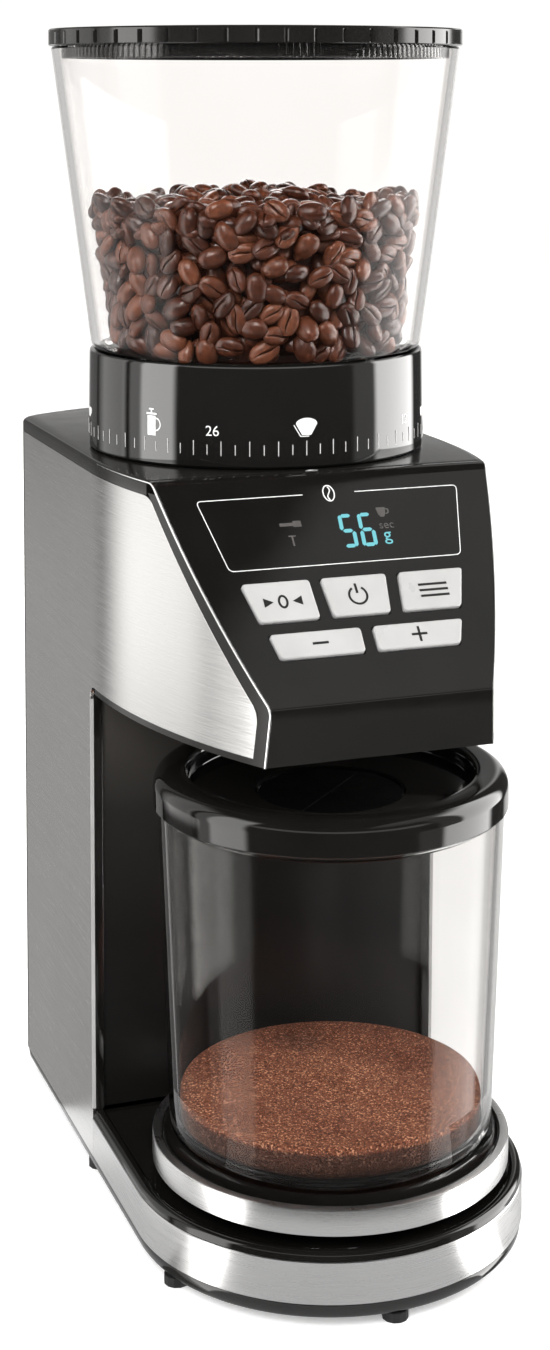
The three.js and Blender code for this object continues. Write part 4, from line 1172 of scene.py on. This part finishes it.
def make_display():
    frame_top, frame_bottom = -8.0, -33.8
    corners = [(45.5, frame_top), (-45.5, frame_top), (-39.7, frame_bottom), (39.7, frame_bottom)]
    loop = fillet(corners, 1.8, 5)
    line = stroke(loop, FRAME_LINE, closed=True)
    bean = oval(0, frame_top, 1.9, 2.9, 32)
    crease = [(0.55 * math.sin(2 * math.pi * t), frame_top + 2.5 - 5.0 * t) for t in np.linspace(0, 1, 13)]

    def in_gap(quad):
        """Whether a piece of the frame lies where the bean stands."""
        return abs(sum(x for x, _ in quad)) / 4 < 9 and sum(y for _, y in quad) / 4 > -9

    halves = [[(-43.7, frame_top), (-9.1, frame_top)], [(9.1, frame_top), (43.7, frame_top)]]
    lines = [quad for quad in line if not in_gap(quad)]
    lines += [quad for half in halves for quad in stroke(half, FRAME_LINE)]
    lines += stroke(bean, 0.38, True) + stroke(crease, 0.38)
    settle("display_frame_print", on_panel(plates(lines, 0, PRINT)), "white_print", "housing")

    five = seven_segments(0.2, 5.3, -16.1, 12.3, "afgcd")
    six = seven_segments(6.9, 5.3, -16.1, 12.3, "afgcde")
    gram = on_panel(lettering("g", 4.5, (16.3, -26.6)))
    digits = merge(on_panel(plates(five + six, 0, PRINT)), gram)
    settle("display_digits", digits, "display_cyan", "housing")

    cup = [[(14.7, -14.5), (18.0, -14.5), (17.7, -16.8), (17.0, -18.0), (15.7, -18.0), (15.0, -16.8)],
           *stroke([(18.0, -15.1), (18.9, -15.4), (18.8, -16.5), (17.8, -17.0)], 0.4)]
    holder = [box(-19.5, -17.9, -14.9, -19.1), box(-14.9, -17.3, -12.1, -19.5)]
    tee = [box(-17.4, -22.5, -15.0, -23.0), box(-16.5, -23.0, -15.9, -26.3)]
    seconds = on_panel(lettering("sec", 2.9, (16.9, -22.3)))
    icons = merge(on_panel(plates(cup + holder + tee, 0, PRINT * 0.6)), seconds)
    settle("display_icons_unlit", icons, "grey_print", "housing")


# ---------------- neck, back and base
def plan_rings(outline_at, profile):
    """A plan outline at each (inset, z) of a profile."""
    return [[(x, y, z) for x, y in outline_at(inset)] for inset, z in profile]


def make_body():
    shell_deep = 2.5
    section = [(0, BAND_BOTTOM), (0, STEEL_TOP), (shell_deep, STEEL_TOP), (shell_deep, BAND_BOTTOM)]
    shell = skin(plan_rings(back_curve, section), closed_path=False)
    back = settle("back_cover_moulding", shell, "matt_black", "housing", ["back_cover"])
    def through_back(outline):
        return loft([[(x, y, z) for x, z in outline] for y in (100, 130)])

    slots = []
    for i in range(7):
        mid = 47.6 + 8 * i
        slots.append(through_back([*arc(15.4, mid, 1.6, -90, 90, 6), *arc(-15.4, mid, 1.6, 90, 270, 6)]))
    slots.append(through_back(oval(26, 24, 7.3, 7.3, 40)))
    carve(back, *slots)
    soften(back, 0.4, 2, 60)

    wall = prism(fillet(box(-63.4, 1.5, 63.4, 4), 0.3, 2), DECK_TOP + GAP, HEAD_BOTTOM - GAP)
    settle("neck_wall", wall, "neck_black_painted_light", "housing", ["neck_front_wall"])

    # The cut edge of each steel side beside the container, in a pale matt grey in place of steel: a painted
    # highlight where the edge catches the light.
    foot, head = DECK_TOP + 0.6, STEEL_HEAD_BOTTOM - 5
    cut_edge = box(-0.08, foot, 0.3, head)
    for side, name in ((-1, "left"), (1, "right")):
        settle(f"neck_edge_painted_highlight_{name}", side_plate(cut_edge, -0.04, SHEET, side), "silver_button", "housing")


def make_base():
    skirt = [(3.2, TRAY_BOTTOM), (1.6, TRAY_BOTTOM + 0.4), (0.7, TRAY_BOTTOM + 1.6), (0.4, 7.4),
             (0.6, BAND_BOTTOM - GAP)]
    settle("base_skirt", loft(plan_rings(footprint, skirt)), "satin_black", "housing",
           ["base_tray"])

    def front(inset):
        return nose(inset, -GAP)

    band = [(0.25, BAND_BOTTOM), (0, BAND_BOTTOM + 0.25), (0, BAND_TOP - 0.25), (0.25, BAND_TOP),
            (SHEET, BAND_TOP), (SHEET, BAND_BOTTOM)]
    settle("base_band", skin(plan_rings(front, band), closed_path=False), "round_steel", "housing",
           ["steel_base_band"])

    def deck_plan(inset):
        return nose(inset + 0.2, 1.2)

    corner_r = 2.0
    rounding = [(0.2 + corner_r * (1 - math.cos(a)), DECK_TOP - corner_r + corner_r * math.sin(a))
                for a in np.linspace(0.1, math.pi / 2, 8)]
    rim = [(0, DECK_BOTTOM), *rounding, (2.7, DECK_TOP), (3.3, DECK_TOP - 0.12), (3.9, DECK_FLOOR + 0.35),
           (4.3, DECK_FLOOR + 0.05), (5.0, DECK_FLOOR)]
    deck = loft(plan_rings(deck_plan, rim))
    moulding = settle("deck_moulding", deck, "gloss_black", "housing", ["base_deck"])
    carve(moulding, lathe(box(0, DECK_BOTTOM - 1, POST_HOLE_R, DECK_TOP + 1), CUP_Y, 48))


# ---------------- platform, container, cap and grounds
def make_scale():
    inner_r, lip_r = PLATFORM_R - SHEET, 56.0
    ring = fillet([(inner_r, PLATFORM_BOTTOM), (PLATFORM_R, PLATFORM_BOTTOM), (PLATFORM_R, PLATFORM_TOP),
                   (lip_r, PLATFORM_TOP), (lip_r, PLATFORM_TOP - SHEET), (inner_r, PLATFORM_TOP - SHEET)],
                  [0.2, 0.3, 0.7, 0.3, 0.2, 0.2], 3)
    settle("platform_steel_ring", lathe(ring, CUP_Y), "round_steel", "platform",
           ["platform_ring"])
    pan = [(0, 31), (55.8, 31), (55.8, 36.6), (55.4, 36.9), (54.6, 36.2), (53.6, 35.7), (50.6, 35.7),
           (49.4, 36.2), (48.4, 37.0), (47.6, PLATFORM_TOP), (0, PLATFORM_TOP)]
    settle("platform_dish", lathe(pan, CUP_Y), "gloss_black", "platform", ["platform_pan"])


def make_container():
    wall = [(0, CUP_BOTTOM + 0.5), (44.5, CUP_BOTTOM + 0.5), (45.5, CUP_BOTTOM), (48.5, CUP_BOTTOM),
            *arc(48.6, CUP_BOTTOM + 4.6, 4.6, -88, 0, 10), (CUP_R_TOP, CUP_TOP - 0.4),
            (CUP_R_TOP - 0.4, CUP_TOP),
            (CUP_R_TOP - CUP_WALL + 0.4, CUP_TOP), (CUP_R_TOP - CUP_WALL, CUP_TOP - 0.4),
            *arc(47.0, 44.4, 3.5, 0, -90, 8), (0, 40.9)]
    settle("container_wall", lathe(wall, CUP_Y), "clear_container", "container", ["container"])

    cap = [(51.6, CAP_BOTTOM - CAP_PLUG), (53.4, CAP_BOTTOM - CAP_PLUG), (53.7, CAP_BOTTOM - CAP_PLUG + 0.3),
           (53.7, CAP_BOTTOM), (CAP_R - 0.5, CAP_BOTTOM), (CAP_R, CAP_BOTTOM + 0.5),
           *arc(CAP_R - 5.2, CAP_TOP - 5.2, 5.2, 0, 90, 14), (CAP_HOLE_R + 2.4, CAP_TOP),
           (CAP_HOLE_R + 0.9, CAP_TOP - 0.4), (CAP_HOLE_R + 0.2, CAP_TOP - 1.3), (CAP_HOLE_R, CAP_TOP - 2.6),
           (CAP_HOLE_R, FUNNEL_TOP + 0.8), (CAP_HOLE_R - 0.3, FUNNEL_TOP + 0.2), (CAP_HOLE_R - 1, FUNNEL_TOP),
           (FUNNEL_R + 0.8, FUNNEL_TOP - FUNNEL_DROP), (FUNNEL_R, FUNNEL_TOP - FUNNEL_DROP - 0.6),
           (FUNNEL_R, FUNNEL_TOP - FUNNEL_DROP - 2), (CAP_HOLE_R, FUNNEL_TOP - 2.4), (51.6, FUNNEL_TOP - 2.4)]
    settle("cap_ring", lathe(cap, CUP_Y), "gloss_black", "container_cap", ["container_cap"])

    # A dark slit sheet across the funnel, drawn as a soft membrane: painted shade that keeps the cap's hole
    # dark.
    reach = FUNNEL_R - 0.3
    flap_z = FUNNEL_TOP - FUNNEL_DROP - 0.9
    wedge_deg, slit_deg, tip_r = 360 / FLAPS, 1.0, 0.5
    flaps = []
    for i in range(FLAPS):
        start = wedge_deg * i + slit_deg / 2
        tip = math.radians(start + (wedge_deg - slit_deg) / 2)
        rim = arc(0, CUP_Y, reach, start, start + wedge_deg - slit_deg, 11)
        flaps.append([(tip_r * math.cos(tip), CUP_Y + tip_r * math.sin(tip)), *rim])
    settle("cap_shade_sheet", plates(flaps, flap_z - 0.6, flap_z), "shade_sheet_black", "container_cap")

    sides = ((47.2, 41.3), (49.4, 43.6), (49.9, 46.0), (50.05, GROUNDS_TOP - 0.9))
    rings = [ring_of(r, z, CUP_Y, 180) for r, z in sides]
    rings[-1] = [(x, y, z + HEAP_SLOPE * (CUP_Y - y)) for x, y, z in rings[-1]]
    for r in (49.6, 49.0, 47.8, 46, 43, 39, 34, 28, 21, 14, 7, 2.5):
        ring = []
        for x, y, _ in ring_of(r, 0, CUP_Y, 180):
            wave = math.sin(x * 0.13 + 1.3) * math.cos(y * 0.11) * 0.5 + RNG.uniform(-0.12, 0.12)
            slope = HEAP_SLOPE * (CUP_Y - y)
            ring.append((x, y, GROUNDS_TOP - 0.75 + slope + wave * min(1, (50.2 - r) / 6)))
        rings.append(ring)
    settle("grounds_heap", loft(rings), "ground_coffee", "container", ["coffee_grounds"], 80)


make_lid()
make_hopper()
make_beans()
make_dial()
make_head()
make_buttons()
make_display()
make_body()
make_base()
make_scale()
make_container()

# ---------------- CAD nodes that stay: finishes, softened edges
KEPT_LOOKS = {
    "rubber": ["foot_", "cord_gland"],
    "machined_steel": ["tray_screw_", "cone_burr", "ring_burr", "burr_spindle", "motor"],
    "bronze": ["motor_pinion", "spindle_bush_"],
    "aluminium": ["load_cell", "platform_post"],
    "white_plastic": ["drive_gear", "burr_carrier", "impeller"],
    "circuit_board": ["main_board", "control_board"],
}


def kept_look(name):
    """The look whose longest entry begins the node's name."""
    found = [(len(start), look) for look, starts in KEPT_LOOKS.items()
             for start in starts if name.startswith(start)]
    return max(found)[1] if found else "matt_black"


for name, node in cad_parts.items():
    if node.hide_render:
        continue
    look = LOOKS[kept_look(name)].material
    if not node.data.materials:
        node.data.materials.append(look)
    for spot in node.material_slots:
        spot.material = look
    weld = node.modifiers.new("weld", "WELD")
    weld.merge_threshold = 0.00001
    soften(node, 0.25, 2, 50)
